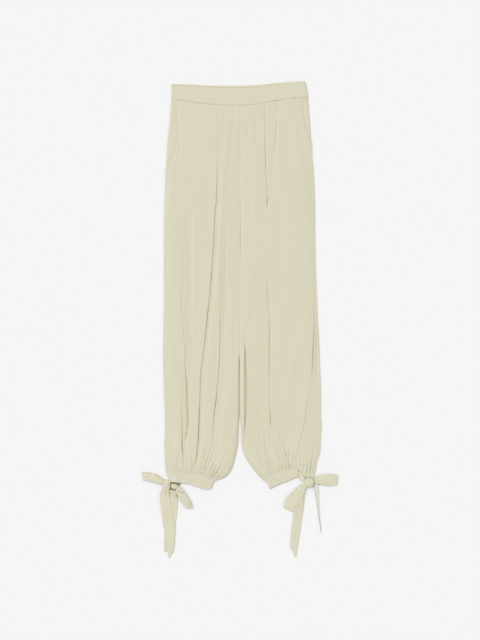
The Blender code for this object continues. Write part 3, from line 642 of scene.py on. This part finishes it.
def front_height(leg, x, y, across, down):
    """Height of the front's outer face: a plateau with rolled edges, its folds, and its gathers."""
    from_side = np.abs(x - leg.front_edge(y))
    from_inner = np.abs(leg.line(4, y) - x)
    from_seam = {"waist": down * leg.length, "cuff": (1 - down) * leg.length}

    # The side rolls down to the back. The pocket mouth is free, so it stays up
    edge = SIDE_EDGE + (MOUTH_EDGE - SIDE_EDGE) * ease((y - leg.mouth[-1, 0]) / MOUTH_EASE + 1)
    z = edge + (PLATEAU - edge) * np.sin(pi / 2 * np.clip(from_side / SIDE_ROLL, 0, 1))

    # Where the legs part, the inner edge rolls down as well, in a rounder way just above the cuff
    parted = ease((PARTING - y) / PARTING_LENGTH)
    roll = INNER_ROLL[leg.side] + (LOW_ROLL - INNER_ROLL[leg.side]) * ease((-230 - y) / 80)
    rounder = 1 - 0.5 * ease((y + 290) / 50)
    inner = np.sin(pi / 2 * np.clip(from_inner / roll, 0, 1)) ** rounder
    z = z - parted * (1 - inner) * (PLATEAU - INNER_EDGE)

    # Above that, the fronts sink to the centre seam: widely on the right leg, closely on the left
    reach = 1 - np.clip(from_inner / 45, 0, 1) if leg.side == "right" else np.exp(-from_inner / 9)
    z = z - read(CENTRE_SINK, y) * reach
    z = z - (1 - parted) * 0.35 * bell(from_inner, 1.2)
    high, away, half_width, margin = BAGGING
    bag = high * bell(from_seam["cuff"] - away, half_width)
    z = z + bag * ease(from_side / margin) * ease(from_inner / margin)
    if leg.side == "left":
        high, away, half_width = STANDING_STRIP
        z = z + high * ease((-60 - y) / 50) * ease((y + 300) / 60) * bell(from_inner - away, half_width)

    # Low waves, the long folds, and the gathers
    z = z + 0.18 * np.sin(2 * pi * (4.5 * across + 0.6 * np.sin(y / 170)))
    for raised, trough_width, rows in leg.folds:
        z = z + lap_fold(x, y, raised, trough_width, rows)
    z = z - sloping_strips(x, y, leg.strips)
    z = z + gather_lines(x, y, leg.gathers)
    clear = ease(from_side / 14)
    z = z + clear * long_creases(across, y, 46, 0.22, 11 + leg.sign)
    for seam, count, depth, reach, seed in SEAM_GATHERS:
        z = z - clear * puckers(across, from_seam[seam], count, depth, reach, seed + leg.sign)

    # The seams pull the cloth down
    z = z - (SEAM_DEEP + STITCH_DEEP * stitches(x)) * bell(from_seam["waist"], SEAM_HALF)
    z = z - (z - CUFF_TOP + 0.5) * bell(from_seam["cuff"], 5.0)
    return np.maximum(z, LOWEST)


# %% A grid that is finer where the cloth bends
def packed(count, density):
    """count shares from 0 to 1, spaced so that each step holds the same amount of density."""
    share = np.linspace(0, 1, 2001)
    weight = density(share)
    run = running((weight[1:] + weight[:-1]) / 2)
    return np.interp(np.linspace(0, run[-1], count), run, share)


def panel_rows(leg, count):
    def density(share):
        return 1 + 1.6 * np.exp(-(1 - share) * leg.length / 60) + 1.2 * np.exp(-share * leg.length / 25)
    return packed(count, density)


def panel_columns(leg, count):
    def density(share):
        close = sum(bell((share - middle) * leg.width, 5.0) for middle in leg.shares)
        return 1 + 2.2 * close
    return packed(count, density)


# %% Cut and lay the front panels
ROWS, COLUMNS = 330, 262
TURN_UNDER = 7.0


def front_panel(leg):
    down, across = panel_rows(leg, ROWS), panel_columns(leg, COLUMNS)
    x, y = leg.place(down, across, front=True)
    z = front_height(leg, x, y, across[None, :] + 0 * x, down[:, None] + 0 * x)
    sheet = np.stack([x, y, z], axis=2)
    edge = sheet[:, :1]
    # The turned edge: a half circle of cloth, then a strip that runs back inside
    inward = -leg.sign
    under = [edge + np.array([inward * TURN_UNDER, 0, -0.7]), edge + np.array([inward * 1.0, 0, -0.75])]
    bend = [edge + np.array([inward * 0.1, 0, -0.6]), edge + np.array([-inward * 0.15, 0, -0.3])]
    sheet = np.concatenate(under + bend + [sheet], axis=1)
    return cloth(f"front_{leg.side}", sheet, (0, 0, 1))


for leg in (RIGHT, LEFT):
    names, size = [f"leg_front_{leg.side}"], (leg.width + 12, leg.length + 8)
    dress(front_panel(leg), LEG_SATIN, names)

# %% [markdown]
# ## Back panels
#
# The back lies flat on the table, so its folds are pressed to shallow troughs. It is seen only from
# below and at the edges, where it rolls up to meet the front at the side seam. It gets a coarser grid
# and the same kind of folds, in other places, because the hidden side of a real pair has them too.

# %% Folds of the back and its sheet
RIGHT.back_folds = [
    (1, 8, [
        (540, -110, 0), (500, -108, 0.5), (350, -104, 0.4), (180, -100, 0.7), (20, -96, 0.3), (-60, -96, 0),
    ]),
    (-1, 9, [
        (420, -45, 0), (300, -44, 0.5), (100, -50, 0.8), (-150, -64, 0.7), (-330, -85, 0.8),
        (-390, -92, 0.2),
    ]),
    (1, 7, [(100, -150, 0), (20, -148, 0.5), (-200, -140, 0.8), (-360, -132, 0.6), (-388, -130, 0.1)]),
]
LEFT.back_folds = [
    (-1, 8, [
        (545, 104, 0), (500, 104, 0.5), (330, 98, 0.5), (150, 94, 0.7), (-40, 90, 0.3), (-90, 90, 0),
    ]),
    (1, 9, [
        (440, 40, 0), (330, 40, 0.4), (100, 44, 0.8), (-150, 56, 0.7), (-330, 80, 0.8), (-380, 90, 0.2),
    ]),
    (-1, 7, [(140, 160, 0), (40, 158, 0.5), (-190, 148, 0.8), (-340, 134, 0.6), (-378, 128, 0.1)]),
]
BACK_WALL = 0.5
CROTCH = 272.0
# How far the back rises at its side and inner edges, and over which width
SIDE_RISE, INNER_RISE, RISE_WIDTH = 1.6, 0.6, 4


def back_panel(leg):
    down, across = panel_rows(leg, 220), np.linspace(0, 1, 100)
    x, y = leg.place(down, across, front=False)
    from_side = np.abs(x - leg.line(0, y))
    from_inner = np.abs(leg.line(4, y) - x)
    # The two backs meet under the gap between the fronts, down to where the table shows between them
    half_gap = (LEFT.line(4, y) - RIGHT.line(4, y)) / 2 + 0.1
    x = x - leg.sign * half_gap * ease((-85 - y) / 25) * ease((y + 248) / 8) * np.exp(-from_inner / 6)
    wide = across[None, :] + 0 * x
    from_cuff = (1 - down[:, None]) * leg.length + 0 * x
    from_waist = down[:, None] * leg.length + 0 * x
    troughs = -0.45 * gather_lines(x, y, leg.gathers)
    troughs = troughs + 0.5 * puckers(wide, from_cuff, 30, 0.9, 16, 50 + leg.sign)
    troughs = troughs + 0.5 * puckers(wide, from_waist, 20, 0.5, 30, 60 + leg.sign)
    for raised, trough_width, rows in leg.back_folds:
        troughs = troughs - 0.4 * lap_fold(x, y, raised, trough_width, rows)
    z = np.maximum(troughs, 0)
    z = z + SIDE_RISE * (1 - quarter_round(from_side, RISE_WIDTH))
    z = z + INNER_RISE * ease((CROTCH - y) / 60) * (1 - quarter_round(from_inner, RISE_WIDTH))
    return cloth(f"back_{leg.side}", np.stack([x, y, z], axis=2), (0, 0, -1), wall=BACK_WALL)


for leg in (RIGHT, LEFT):
    names, size = [f"leg_back_{leg.side}"], (leg.width + 6, leg.length)
    dress(back_panel(leg), LEG_SATIN, names)

# %% [markdown]
# ## Pocket sides
#
# Inside each slanted pocket mouth, a side piece fills the corner between the mouth and the side seam.
# It lies between front and back, slips under the mouth's turned edge, and rolls down at the side.


# %% The two side pieces
def pocket_side(leg):
    end = leg.mouth[-1, 0] + 1
    share, across = np.linspace(0, 1, 90)[:, None], np.linspace(0, 1, 40)[None, :]
    top = read(WAIST_SEAM, leg.line(0, leg.sections[0, 0])) + 1
    y = top + (end - top) * share + 0 * across
    outer, mouth = leg.line(0, y), leg.front_edge(y)
    x = outer + (mouth - leg.sign * 12 * (1 - share**4) - outer) * across
    seam = read(WAIST_SEAM, x) + 1
    y = y + (seam - top) * ease(1 - share / 0.25)
    from_side = np.abs(x - leg.line(0, y))
    z = 1.8 + 1.6 * quarter_round(from_side, 11)
    z = z - 0.35 * bell(from_side - 9 - 4 * share, 2.5) + 0.1 * np.sin(9 * share + 5 * across)
    z = z + 1.6 * ease(1 - share / 0.12) * ease(from_side / 5)
    return cloth(f"pocket_{leg.side}", np.stack([x, y, z], axis=2), (0, 0, 1), wall=BACK_WALL)


for leg in (RIGHT, LEFT):
    names, size = [f"pocket_side_{leg.side}"], (26, leg.mouth[0, 0] - leg.mouth[-1, 0])
    dress(pocket_side(leg), LEG_SATIN, names)

# %% [markdown]
# ## Waistband and cuffs
#
# Both are doubled strips sewn into a ring, and a ring laid flat is a flattened tube: a front wall, a
# back wall and a tight bend at each end. One function serves both. It walks round the ring at the
# seam, goes up the outer face to the free edge, over the fold there and down the inner face, so the
# edge is round and soft as a folded edge is. The back of the waistband stands a little higher than
# its front, which shows a strip of its inside.


# %% A doubled ring of cloth, laid flat
RING_STEP = 0.85


def flat_ring(name, seam_ends, edge_ends, seam, front_edge, back_edge, height, wall, waves):
    """Points of a flattened ring. seam_ends and edge_ends are the x of its two ends, height is how
    high it lies, wall its thickness, and waves(x, up) a small height added to its front.

    Round the ring, the front and back are straight and each end is a half circle. Up the ring, the
    rows go from the seam to the edge on the outer face, turn over the edge and come back inside."""
    steps = int(abs(seam_ends[1] - seam_ends[0]) / RING_STEP)
    front_share = np.linspace(0, 1, steps)
    turn = np.linspace(pi / 2, -pi / 2, 9)[1:-1]
    share = np.concatenate([front_share, np.ones(7), front_share[::-1], np.zeros(7)])
    angle = np.concatenate([np.full(steps, pi / 2), turn, np.full(steps, -pi / 2), turn[::-1]])
    side = np.concatenate([np.zeros(steps), np.ones(7), np.zeros(steps), -np.ones(7)])
    rise = np.concatenate([np.linspace(0, 0.1, 7), np.linspace(0.16, 0.97, 12)])
    up = np.concatenate([rise, [0.99, 1.0, 1.0, 0.99], np.linspace(0.97, 0, 8)])
    inset = np.concatenate([0 * rise, np.array([0.15, 0.4, 0.6, 0.85]) * wall, np.full(8, wall)])
    up, inset = up[:, None], inset[:, None]
    start, stop = mix(seam_ends[0], edge_ends[0], up), mix(seam_ends[1], edge_ends[1], up)
    radius = height / 2
    along = start + radius + share * (stop - start - 2 * radius)
    x = along + side * (radius - inset) * np.cos(angle)
    z = radius + (radius - inset) * np.sin(angle)
    on_front = ease(z / height * 1.4 - 0.2)
    y = mix(read(seam, x), mix(read(back_edge, x), read(front_edge, x), on_front), up)
    z = z + waves(x, up + 0 * share) * (angle > 1.5)
    points = np.stack([x, y, z], axis=2)
    ring = np.linalg.norm(np.diff(points, axis=1, append=points[:, :1]), axis=2)
    u, v = running(ring, 1), running(np.linalg.norm(np.diff(points, axis=0), axis=2).mean(axis=1))
    # The weave of a band runs along it, so its cut is turned by a quarter
    cut = np.stack([np.broadcast_to(v[:, None], u.shape), u], axis=2) * MM
    piece = cloth(name, points, (0, 0, 1), cut, around=True)
    return piece, ring[0].sum(), v[-1]


# %% The waistband
FRONT_TOP_EDGE = [
    (-176, 595), (-103, 592), (-47, 589), (11, 589), (55, 592), (88, 597), (121, 603), (166, 606),
]
BACK_TOP_EDGE = [
    (-176, 600), (-129, 599.5), (-73, 596.5), (-14, 596), (24, 597), (55, 599), (88, 602.5), (119, 605),
    (166, 608),
]


def band_waves(x, up):
    """Stitch holes just above the seam, and low waves that fade towards the top edge."""
    return -1.3 * stitches(x) * bell(up, 0.045) + 0.15 * np.sin(x / 11 + 2 * up) * (1 - up)


band, band_round, band_high = flat_ring(
    "waistband", (-176.5, 171.8), (-176, 164), WAIST_SEAM, FRONT_TOP_EDGE, BACK_TOP_EDGE, 5.5, 1.1,
    band_waves,
)
dress(band, BAND_SATIN, ["waistband_front", "waistband_back"])

# %% The cuffs
RIGHT_CUFF_EDGE = [
    (-181, -414), (-168, -414.5), (-154, -416.5), (-134, -419), (-116, -424.5), (-95, -431.5),
    (-83, -433.5), (-72, -426.5),
]
LEFT_CUFF_EDGE = [(73, -433), (80, -429.5), (96, -422), (120, -413), (145, -403.5), (149, -404)]


def cuff_waves(x, up):
    """Pinches along the seam, a slanting drag, and the right cuff's edge that stands up at its knot."""
    pinch = -0.4 * bell(up, 0.08) * (1 + 0.9 * np.sin(x * 1.6 + 2 * np.sin(x / 7)))
    drag = 0.25 * np.sin(x / 5.2 + 3 * up) * ease(up * 2)
    lip = 3.2 * bell(x + 163, 9.5) * ease(up * 1.6 - 0.6)
    return pinch + drag + lip


for leg, seam_ends, edge_ends, seam, edge, short in (
    (RIGHT, (-184.5, -66.5), (-180.5, -73), RIGHT_CUFF_SEAM, RIGHT_CUFF_EDGE, 0.3),
    (LEFT, (63.5, 147.5), (74, 148), LEFT_CUFF_SEAM, LEFT_CUFF_EDGE, 1.8),
):
    # The front's edge falls a little short of the back's
    front_edge = [(x, y + short) for x, y in edge]
    cuff, cuff_round, cuff_deep = flat_ring(
        f"cuff_cloth_{leg.side}", seam_ends, edge_ends, seam, front_edge, edge, 4.4, 0.9, cuff_waves
    )
    dress(cuff, BAND_SATIN, [f"cuff_{leg.side}"])

# %% [markdown]
# ## Ties
#
# Each cuff closes with a long tie, folded lengthwise and knotted in a bow. A tail is a strip between
# two edge curves. A loop goes out, turns over at its far end and comes back on top of itself. Both are
# squeezed at the knot, so creases start there and die out along the strip. The knot is the ribbon
# pulled tight round the others, and its creases run round it.

# %% Where the tails run
FLAT, UPPER = 1, 2.2
# From the knot outwards: x and y of one edge, x and y of the other, and the height of each
TAILS = {
    "tail_upper_right": [
        (-197.5, -423, -183, -424, 7, 6.8), (-198.5, -434, -182, -434, 6, 5.2),
        (-205, -447, -181.5, -446, 3.2, 2.8), (-204.5, -463, -178, -463, UPPER, 1.9),
        (-202, -483, -175, -483, UPPER + 0.6, 1.9), (-199, -506, -171, -506, UPPER, 1.9),
        (-195.5, -532, -167, -532, UPPER, 2), (-189, -562, -168.5, -562, UPPER, UPPER),
        (-186, -586, -170, -584, UPPER, UPPER), (-182, -609, -180, -606, UPPER, UPPER),
    ],
    "tail_lower_right": [
        (-177, -436, -163, -436, 2.4, 2.6), (-184, -455, -161, -455, FLAT, 1.4),
        (-187, -473, -160, -473, FLAT, FLAT), (-190, -493, -162, -493, FLAT, FLAT),
        (-193, -516, -165, -516, FLAT, FLAT), (-194.5, -539, -167, -539, FLAT, FLAT),
        (-194, -565, -170.5, -565, 1.8, FLAT), (-194, -591, -182, -591, 1.9, FLAT),
    ],
    "tail_long_left": [
        (156, -423, 169, -421, 6.4, 5.8), (149, -450, 160.8, -450, 6, 4.6),
        (143, -468, 159.8, -468, 6, 3.8), (137, -488, 158, -488, 5.6, 2.6),
        (133, -514, 154.8, -514, 2.4, 1.4), (128.5, -544, 151.8, -544, FLAT, FLAT),
        (126, -578, 147, -575, FLAT, FLAT), (133, -592, 144.5, -592, FLAT, FLAT),
        (138.5, -607, 141.5, -606, FLAT, FLAT),
    ],
    "tail_turned_left": [
        (190, -413, 196, -411, 2, 3), (188.5, -425, 197.5, -423, 3.2, 1.8),
        (189.6, -442, 200, -441, 3.6, 1.2), (193, -460, 200, -460, 3, 1.3),
        (195.8, -481, 200.2, -481, 2.8, 1.3), (199, -504, 202, -504, 2.6, 1.3),
        (202.6, -527, 205, -527, 2.4, 1.3), (204.6, -542, 206.2, -542, 2, 1.3),
    ],
}
RIBBON_WALL = 0.8
RIBBON_LOW = 0.85


# %% Stations along a ribbon, and the creases that leave its knot
def stations(rows, count):
    """Reads a ribbon's table at even steps along its middle. Also returns how far along each step is."""
    table = np.array(rows, float)
    middle = (table[:, 0:2] + table[:, 2:4]) / 2
    run = running(np.linalg.norm(np.diff(middle, axis=0), axis=1))
    at = np.linspace(0, run[-1], count)
    return np.stack([flow(at, run, column) for column in table.T], axis=1), at


def ribbon(rows, count):
    """A ribbon on the flat: its table and stations, the shares across it, its points, and its widths."""
    table, at = stations(rows, count)
    share = np.linspace(0, 1, 33)[None, :]
    flat = mix(table[:, None, 0:2], table[:, None, 2:4], share[..., None])
    return table, at, share, flat, np.linalg.norm(table[:, 2:4] - table[:, 0:2], axis=1)


def strip_area(wide, at):
    """Area of a strip from its width at each station."""
    return ((wide[1:] + wide[:-1]) / 2 * np.diff(at)).sum()


def knot_creases(share, distance, seed, depth):
    """Height of creases that fan out of a knot: waves across the ribbon that fade along it."""
    chance = np.random.default_rng(seed).uniform
    total = np.zeros(np.broadcast(share, distance).shape)
    for k in range(1, 5):
        phase, lean = chance(0, 6.3), chance(-0.02, 0.02)
        wave = np.sin(2 * pi * k * 0.8 * share + phase + lean * distance)
        total += wave * np.exp(-distance / (26 / k**0.5)) / k
    edge_roll = 0.25 * (bell(share, 0.06) + bell(share - 1, 0.06))
    return depth * total + edge_roll * 0.5


# Creases of a tie: along and across where each starts, along and across where it ends, depth.
# Along is in millimetres from the knot, and across is a share of the width.
TIE_CREASES = {
    "tail_lower_right": [(12, 0, 34, 0.75, 0.7), (128, 0.22, 150, 0.3, 1.2)],
    "tail_upper_right": [(0, 0.55, 40, 0.72, 0.6), (0, 0.3, 24, 0.2, 0.6)],
    "tail_long_left": [(0, 0.35, 70, 0.5, 0.5), (0, 0.7, 36, 0.85, 0.6)],
    "tail_turned_left": [(12, 0.14, 126, 0.3, 1.6)],
    "loop_side_right": [
        (34, 0.15, 55, 0.09, 2.4), (10, 0.13, 27, 0.08, 1.6), (0, 0.5, 26, 0.6, 0.9),
        (0, 0.25, 18, 0.2, 0.9),
    ],
    "loop_front_right": [(4, 0.72, 25, 0.12, 4.2), (45, 0.17, 62, 0.2, 3)],
    "loop_side_left": [(3, 0.24, 14, 0.16, 2.4), (0, 0.66, 18, 0.76, 1.4), (0, 0.5, 14, 0.5, 1)],
    "loop_front_left": [(13, -0.05, 22, 0.22, 2.4), (27, -0.05, 36, 0.2, 2.4), (0, 0.5, 30, 0.6, 0.8)],
}


def tie_creases(name, share, along):
    """Depth of the creases of one tie: each is a bell across a straight line that fades at both ends."""
    total = np.zeros(np.broadcast(share, along).shape)
    for start, across_start, stop, across_stop, depth in TIE_CREASES.get(name, []):
        way = (along - start) / (stop - start)
        line = across_start + (across_stop - across_start) * way
        window = ease((way + 0.15) / 0.3) * ease((1.15 - way) / 0.3)
        total = total + depth * window * bell(share - line, 0.075)
    return total


# %% The four tails
def tail(name, rows, seed):
    """A strip between two edges, and the flat size and area of its cut."""
    table, at, share, flat, wide = ribbon(rows, 150)
    z = mix(table[:, None, 4], table[:, None, 5], share)
    wander = 0.35 * np.sin(at[:, None] / 19 + 2.2 * share + seed) * ease(at[:, None] / 30)
    z = z + knot_creases(share, at[:, None], seed, 0.7) + wander - tie_creases(name, share, at[:, None])
    points = np.concatenate([flat, np.maximum(z, RIBBON_LOW)[..., None]], axis=2)
    if "turned" in name:
        wide = np.hypot(wide, table[:, 5] - table[:, 4])
    piece = cloth(name, points, (0, 0, 1), wall=RIBBON_WALL)
    return piece, (wide.max(), at[-1]), strip_area(wide, at)


for seed, (name, rows) in enumerate(TAILS.items()):
    piece, flat, area = tail(name, rows, seed + 5)
    # The turned tail's paler satin is painted light
    material = PAINTED_LIGHT_SATIN if "turned" in name else TIE_SATIN
    dress(piece, material, ["bow_" + name])

# %% Where the loops run
# Height of the far fold, rise of the arch, then from the knot to the far fold: x and y of both edges
LOOPS = {
    "loop_side_right": (3.6, 2.4, [
        (-194, -409, -195, -422), (-213, -395.5, -211, -416), (-231, -390, -230, -412),
        (-251, -389, -248.5, -408.5),
    ]),
    "loop_front_right": (3.7, 1.8, [
        (-160.5, -422, -165, -436), (-147, -434, -159.5, -450), (-136, -450, -152.5, -463),
        (-126, -467, -145, -474), (-123, -482, -140.5, -480.5),
    ]),
    "loop_side_left": (3.3, 2.4, [
        (188, -405, 188, -415), (198, -398, 199, -419), (213, -394.5, 213, -421), (228, -393.5, 228, -422),
        (246.5, -396, 245.5, -422),
    ]),
    "loop_front_left": (3.4, 0.6, [
        (161.5, -417.5, 166, -428), (139, -432, 159, -448), (125, -447, 154, -463),
        (114.5, -462, 147, -478), (111, -481, 137.5, -490.5),
    ]),
}
LOOP_LOW = 1.7
# How far the last rows and the fold are drawn back, so that the fold ends where the table says
SET_BACK = 1.4


# %% The four loops
def loop(name, end, arch, rows, seed):
    """A strip that runs out near the floor, turns over in a half circle and comes back on top.

    The top layer rises by arch in the middle of its way, and both ends of it meet the knot."""
    table, at, share, flat, wide = ribbon(rows, 60)
    out = at[:, None] / at[-1]
    low = RIBBON_LOW + 1.4 * (1 - ease(out * 3)) + 0 * share
    crown = 1 - (2 * share - 1) ** 2
    high = end + (0.8 + arch * np.sin(pi * out**0.8)) * (1 - out**3) * (0.55 + 0.45 * crown)
    high = high + knot_creases(share, at[:, None], seed, 0.9) * (1 - out**4)
    high = high - tie_creases(name, share, at[:, None])
    bottom = np.concatenate([flat, low[..., None]], axis=2)
    top = np.concatenate([flat, np.maximum(high, LOOP_LOW)[..., None]], axis=2)
    ahead = flat[-1] - flat[-2]
    ahead = ahead / np.linalg.norm(ahead, axis=1, keepdims=True)
    turn = np.linspace(-pi / 2, pi / 2, 13)[1:-1, None]
    middle, radius = (bottom[-1:, :, 2] + top[-1:, :, 2]) / 2, (top[-1:, :, 2] - bottom[-1:, :, 2]) / 2
    bulge = radius * np.cos(turn) - SET_BACK
    fold_flat = flat[-1:] + ahead[None] * bulge[..., None]
    fold = np.concatenate([fold_flat, (middle + radius * np.sin(turn))[..., None]], axis=2)
    for layer in (bottom, top):
        layer[-3:, :, :2] -= ahead[None] * SET_BACK * np.array([0.2, 0.6, 1.0])[:, None, None]
    points = np.concatenate([bottom, fold, top[::-1]], axis=0)
    piece = cloth(name, points, (0, 0, -1), wall=RIBBON_WALL)
    return piece, (wide.max(), 2 * at[-1]), 2 * strip_area(wide, at)


for seed, (name, (end, arch, rows)) in enumerate(LOOPS.items()):
    piece, flat, area = loop(name, end, arch, rows, seed + 40)
    dress(piece, TIE_SATIN, ["bow_" + name])


# %% The knots and the turned stretches beside them
def knot(name, x, y, length, width, high, turn, grooves, seed):
    """A tight wrap of ribbon: a squared-off dome whose creases run along it, with an edge that tucks
    in underneath. Rows run from the rim to the crown, and columns round it."""
    around = np.linspace(0, 2 * pi, 96, endpoint=False)[None, :]
    climb = np.linspace(0, 1, 26)[:, None]
    size = np.cos(climb * pi / 2) ** 0.55 * (0.9 + 0.1 * np.sin(climb * pi)) + 0.002
    lift = np.sin(climb * pi / 2) ** 0.8
    ox, oy = (np.sign(w) * np.abs(w) ** 0.75 * size for w in (np.cos(around), np.sin(around)))
    z = 0.3 + (high - 0.3) * lift
    chance = np.random.default_rng(seed).uniform
    for _ in range(grooves):
        lean, off = chance(-0.5, 0.5), chance(-0.75, 0.75)
        z = z - 1.5 * bell(oy - off - lean * ox, 0.09) * lift * chance(0.5, 1.0)
    z = z + 0.35 * np.sin(6 * oy + 1.5 * ox + seed) * lift
    a = radians(turn)
    px = x + ox * length * np.cos(a) - oy * width * np.sin(a)
    py = y + ox * length * np.sin(a) + oy * width * np.cos(a)
    points = np.stack([px, py, np.maximum(z, 0.2)], axis=2)
    u = np.linspace(0, 2 * pi * (length + width) / 2, 97)[None, :] + 0 * climb
    v = climb * (high + width) + 0 * u
    return cloth(name, points, (0, 0, 1), np.stack([u, v], axis=2) * MM, around=True)


# name, x, y, half length, half width, height, turn, grooves, solids
KNOTS = [
    ("knot_right", -168.2, -425.2, 10, 7, 9.6, -17, 3, ["tie_knot_right"]),
    ("turned_tie_right", -187.2, -420.5, 13.6, 9.4, 8.2, 84, 3, ["tie_wrap_right"]),
    ("knot_left", 174.8, -416, 13.4, 13.4, 10, -12, 5, ["tie_knot_left"]),
    ("tie_roll_right", -171.4, -443.4, 12.4, 4.6, 5.6, -46, 1, []),
]
for seed, (name, x, y, length, width, high, turn, grooves, solids) in enumerate(KNOTS):
    piece = knot(name, x, y, length, width, high, turn, grooves, seed + 70)
    flat = (2 * (length + 0.7 * high), 2 * (width + 0.7 * high))
    # The wrap is an oval cut from that strip
    dress(piece, TIE_SATIN, solids)

# %% Where the ties pass round the cuffs
# The right pass under its knot gets a darkened satin, painted shade for the deep shade there. Satin,
# solids, seed, then rows as for a tail
PASSES = {
    "tie_under_right": (SHADE_SATIN, [], 31, [
        (-181, -409, -153, -411, 1, 1), (-180.5, -416, -152, -418, 0.9, 0.9),
        (-180, -423, -155, -423, 0.9, 0.9), (-180, -439, -162, -439, 0.9, 0.9),
    ]),
    "tie_under_left": (BAND_SATIN, [], 31, [
        (176, -401, 189, -402, 1, 1), (178, -412, 190, -411, 1, 1), (178, -419, 190.5, -418, 0.9, 0.9),
        (180, -426, 189.5, -425, 0.9, 0.9),
    ]),
    "turned_tie_left": (TIE_SATIN, ["tie_wrap_left"], 17, [
        (147.5, -384, 148, -406, 4.6, 4.2), (155, -392.5, 155, -410.5, 5.6, 4.8),
        (164, -404, 163, -415, 7.2, 6),
    ]),
}
for name, (material, solids, seed, rows) in PASSES.items():
    piece, flat, area = tail(name, rows, seed)
    dress(piece, material, solids)

# %% [markdown]
# ## The table and the light
#
# The pair lies on a plain pale surface under a large soft light, a little stronger from the upper
# left, so that folds show a thin shadow and nothing casts a hard one. A sun with a wide angle lights
# the whole surface evenly. The camera looks straight down through a long lens.

# %% Floor, light and camera
FLOOR_HALF = 6.0
floor_mesh = bpy.data.meshes.new("floor")
corners = [(x * FLOOR_HALF, y * FLOOR_HALF, 0) for x, y in ((-1, -1), (1, -1), (1, 1), (-1, 1))]
floor_mesh.from_pydata(corners, [], [(0, 1, 2, 3)])
floor = show("floor", floor_mesh, (0, 0, -0.0002))
paper = bpy.data.materials.new("paper")
paper.use_nodes = True
finish = paper.node_tree.nodes["Principled BSDF"]
plug(finish, Base_Color=(0.92, 0.92, 0.92, 1), Roughness=0.9, Specular_IOR_Level=0.0)
floor_mesh.materials.append(paper)
floor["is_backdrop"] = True


def soft_sun(name, strength, spread, tilt, heading):
    """A sun whose light comes from a disc spread degrees wide, tilt degrees off the vertical."""
    lamp = bpy.data.lights.new(name, "SUN")
    lamp.energy = strength
    lamp.angle = radians(spread)
    show(name, lamp).rotation_euler = (radians(tilt), 0, radians(heading))


soft_sun("key", 1.55, 50, 42, 236)
soft_sun("fill", 0.55, 90, 40, 80)
world = bpy.data.worlds.new("studio")
world.use_nodes = True
plug(world.node_tree.nodes["Background"], Color=(1, 1, 1, 1), Strength=0.50)
bpy.context.scene.world = world
bpy.context.scene.view_settings.view_transform = "Standard"

PICTURE_LONG = 640
MM_PER_PIXEL = 2.55
camera_data = bpy.data.cameras.new("camera")
camera_data.lens = 85
camera_data.sensor_width = 36
camera_data.clip_end = 50
away = PICTURE_LONG * MM_PER_PIXEL * MM * camera_data.lens / camera_data.sensor_width
# Half a pixel to the left of the middle and below it
bpy.context.scene.camera = show("camera", camera_data, (-0.0013, -0.0013, away))

# %% Print how far the cloth reaches, and finish
low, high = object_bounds()
print("cloth reaches", [round(v * 1000, 1) for v in (*low, *high)])
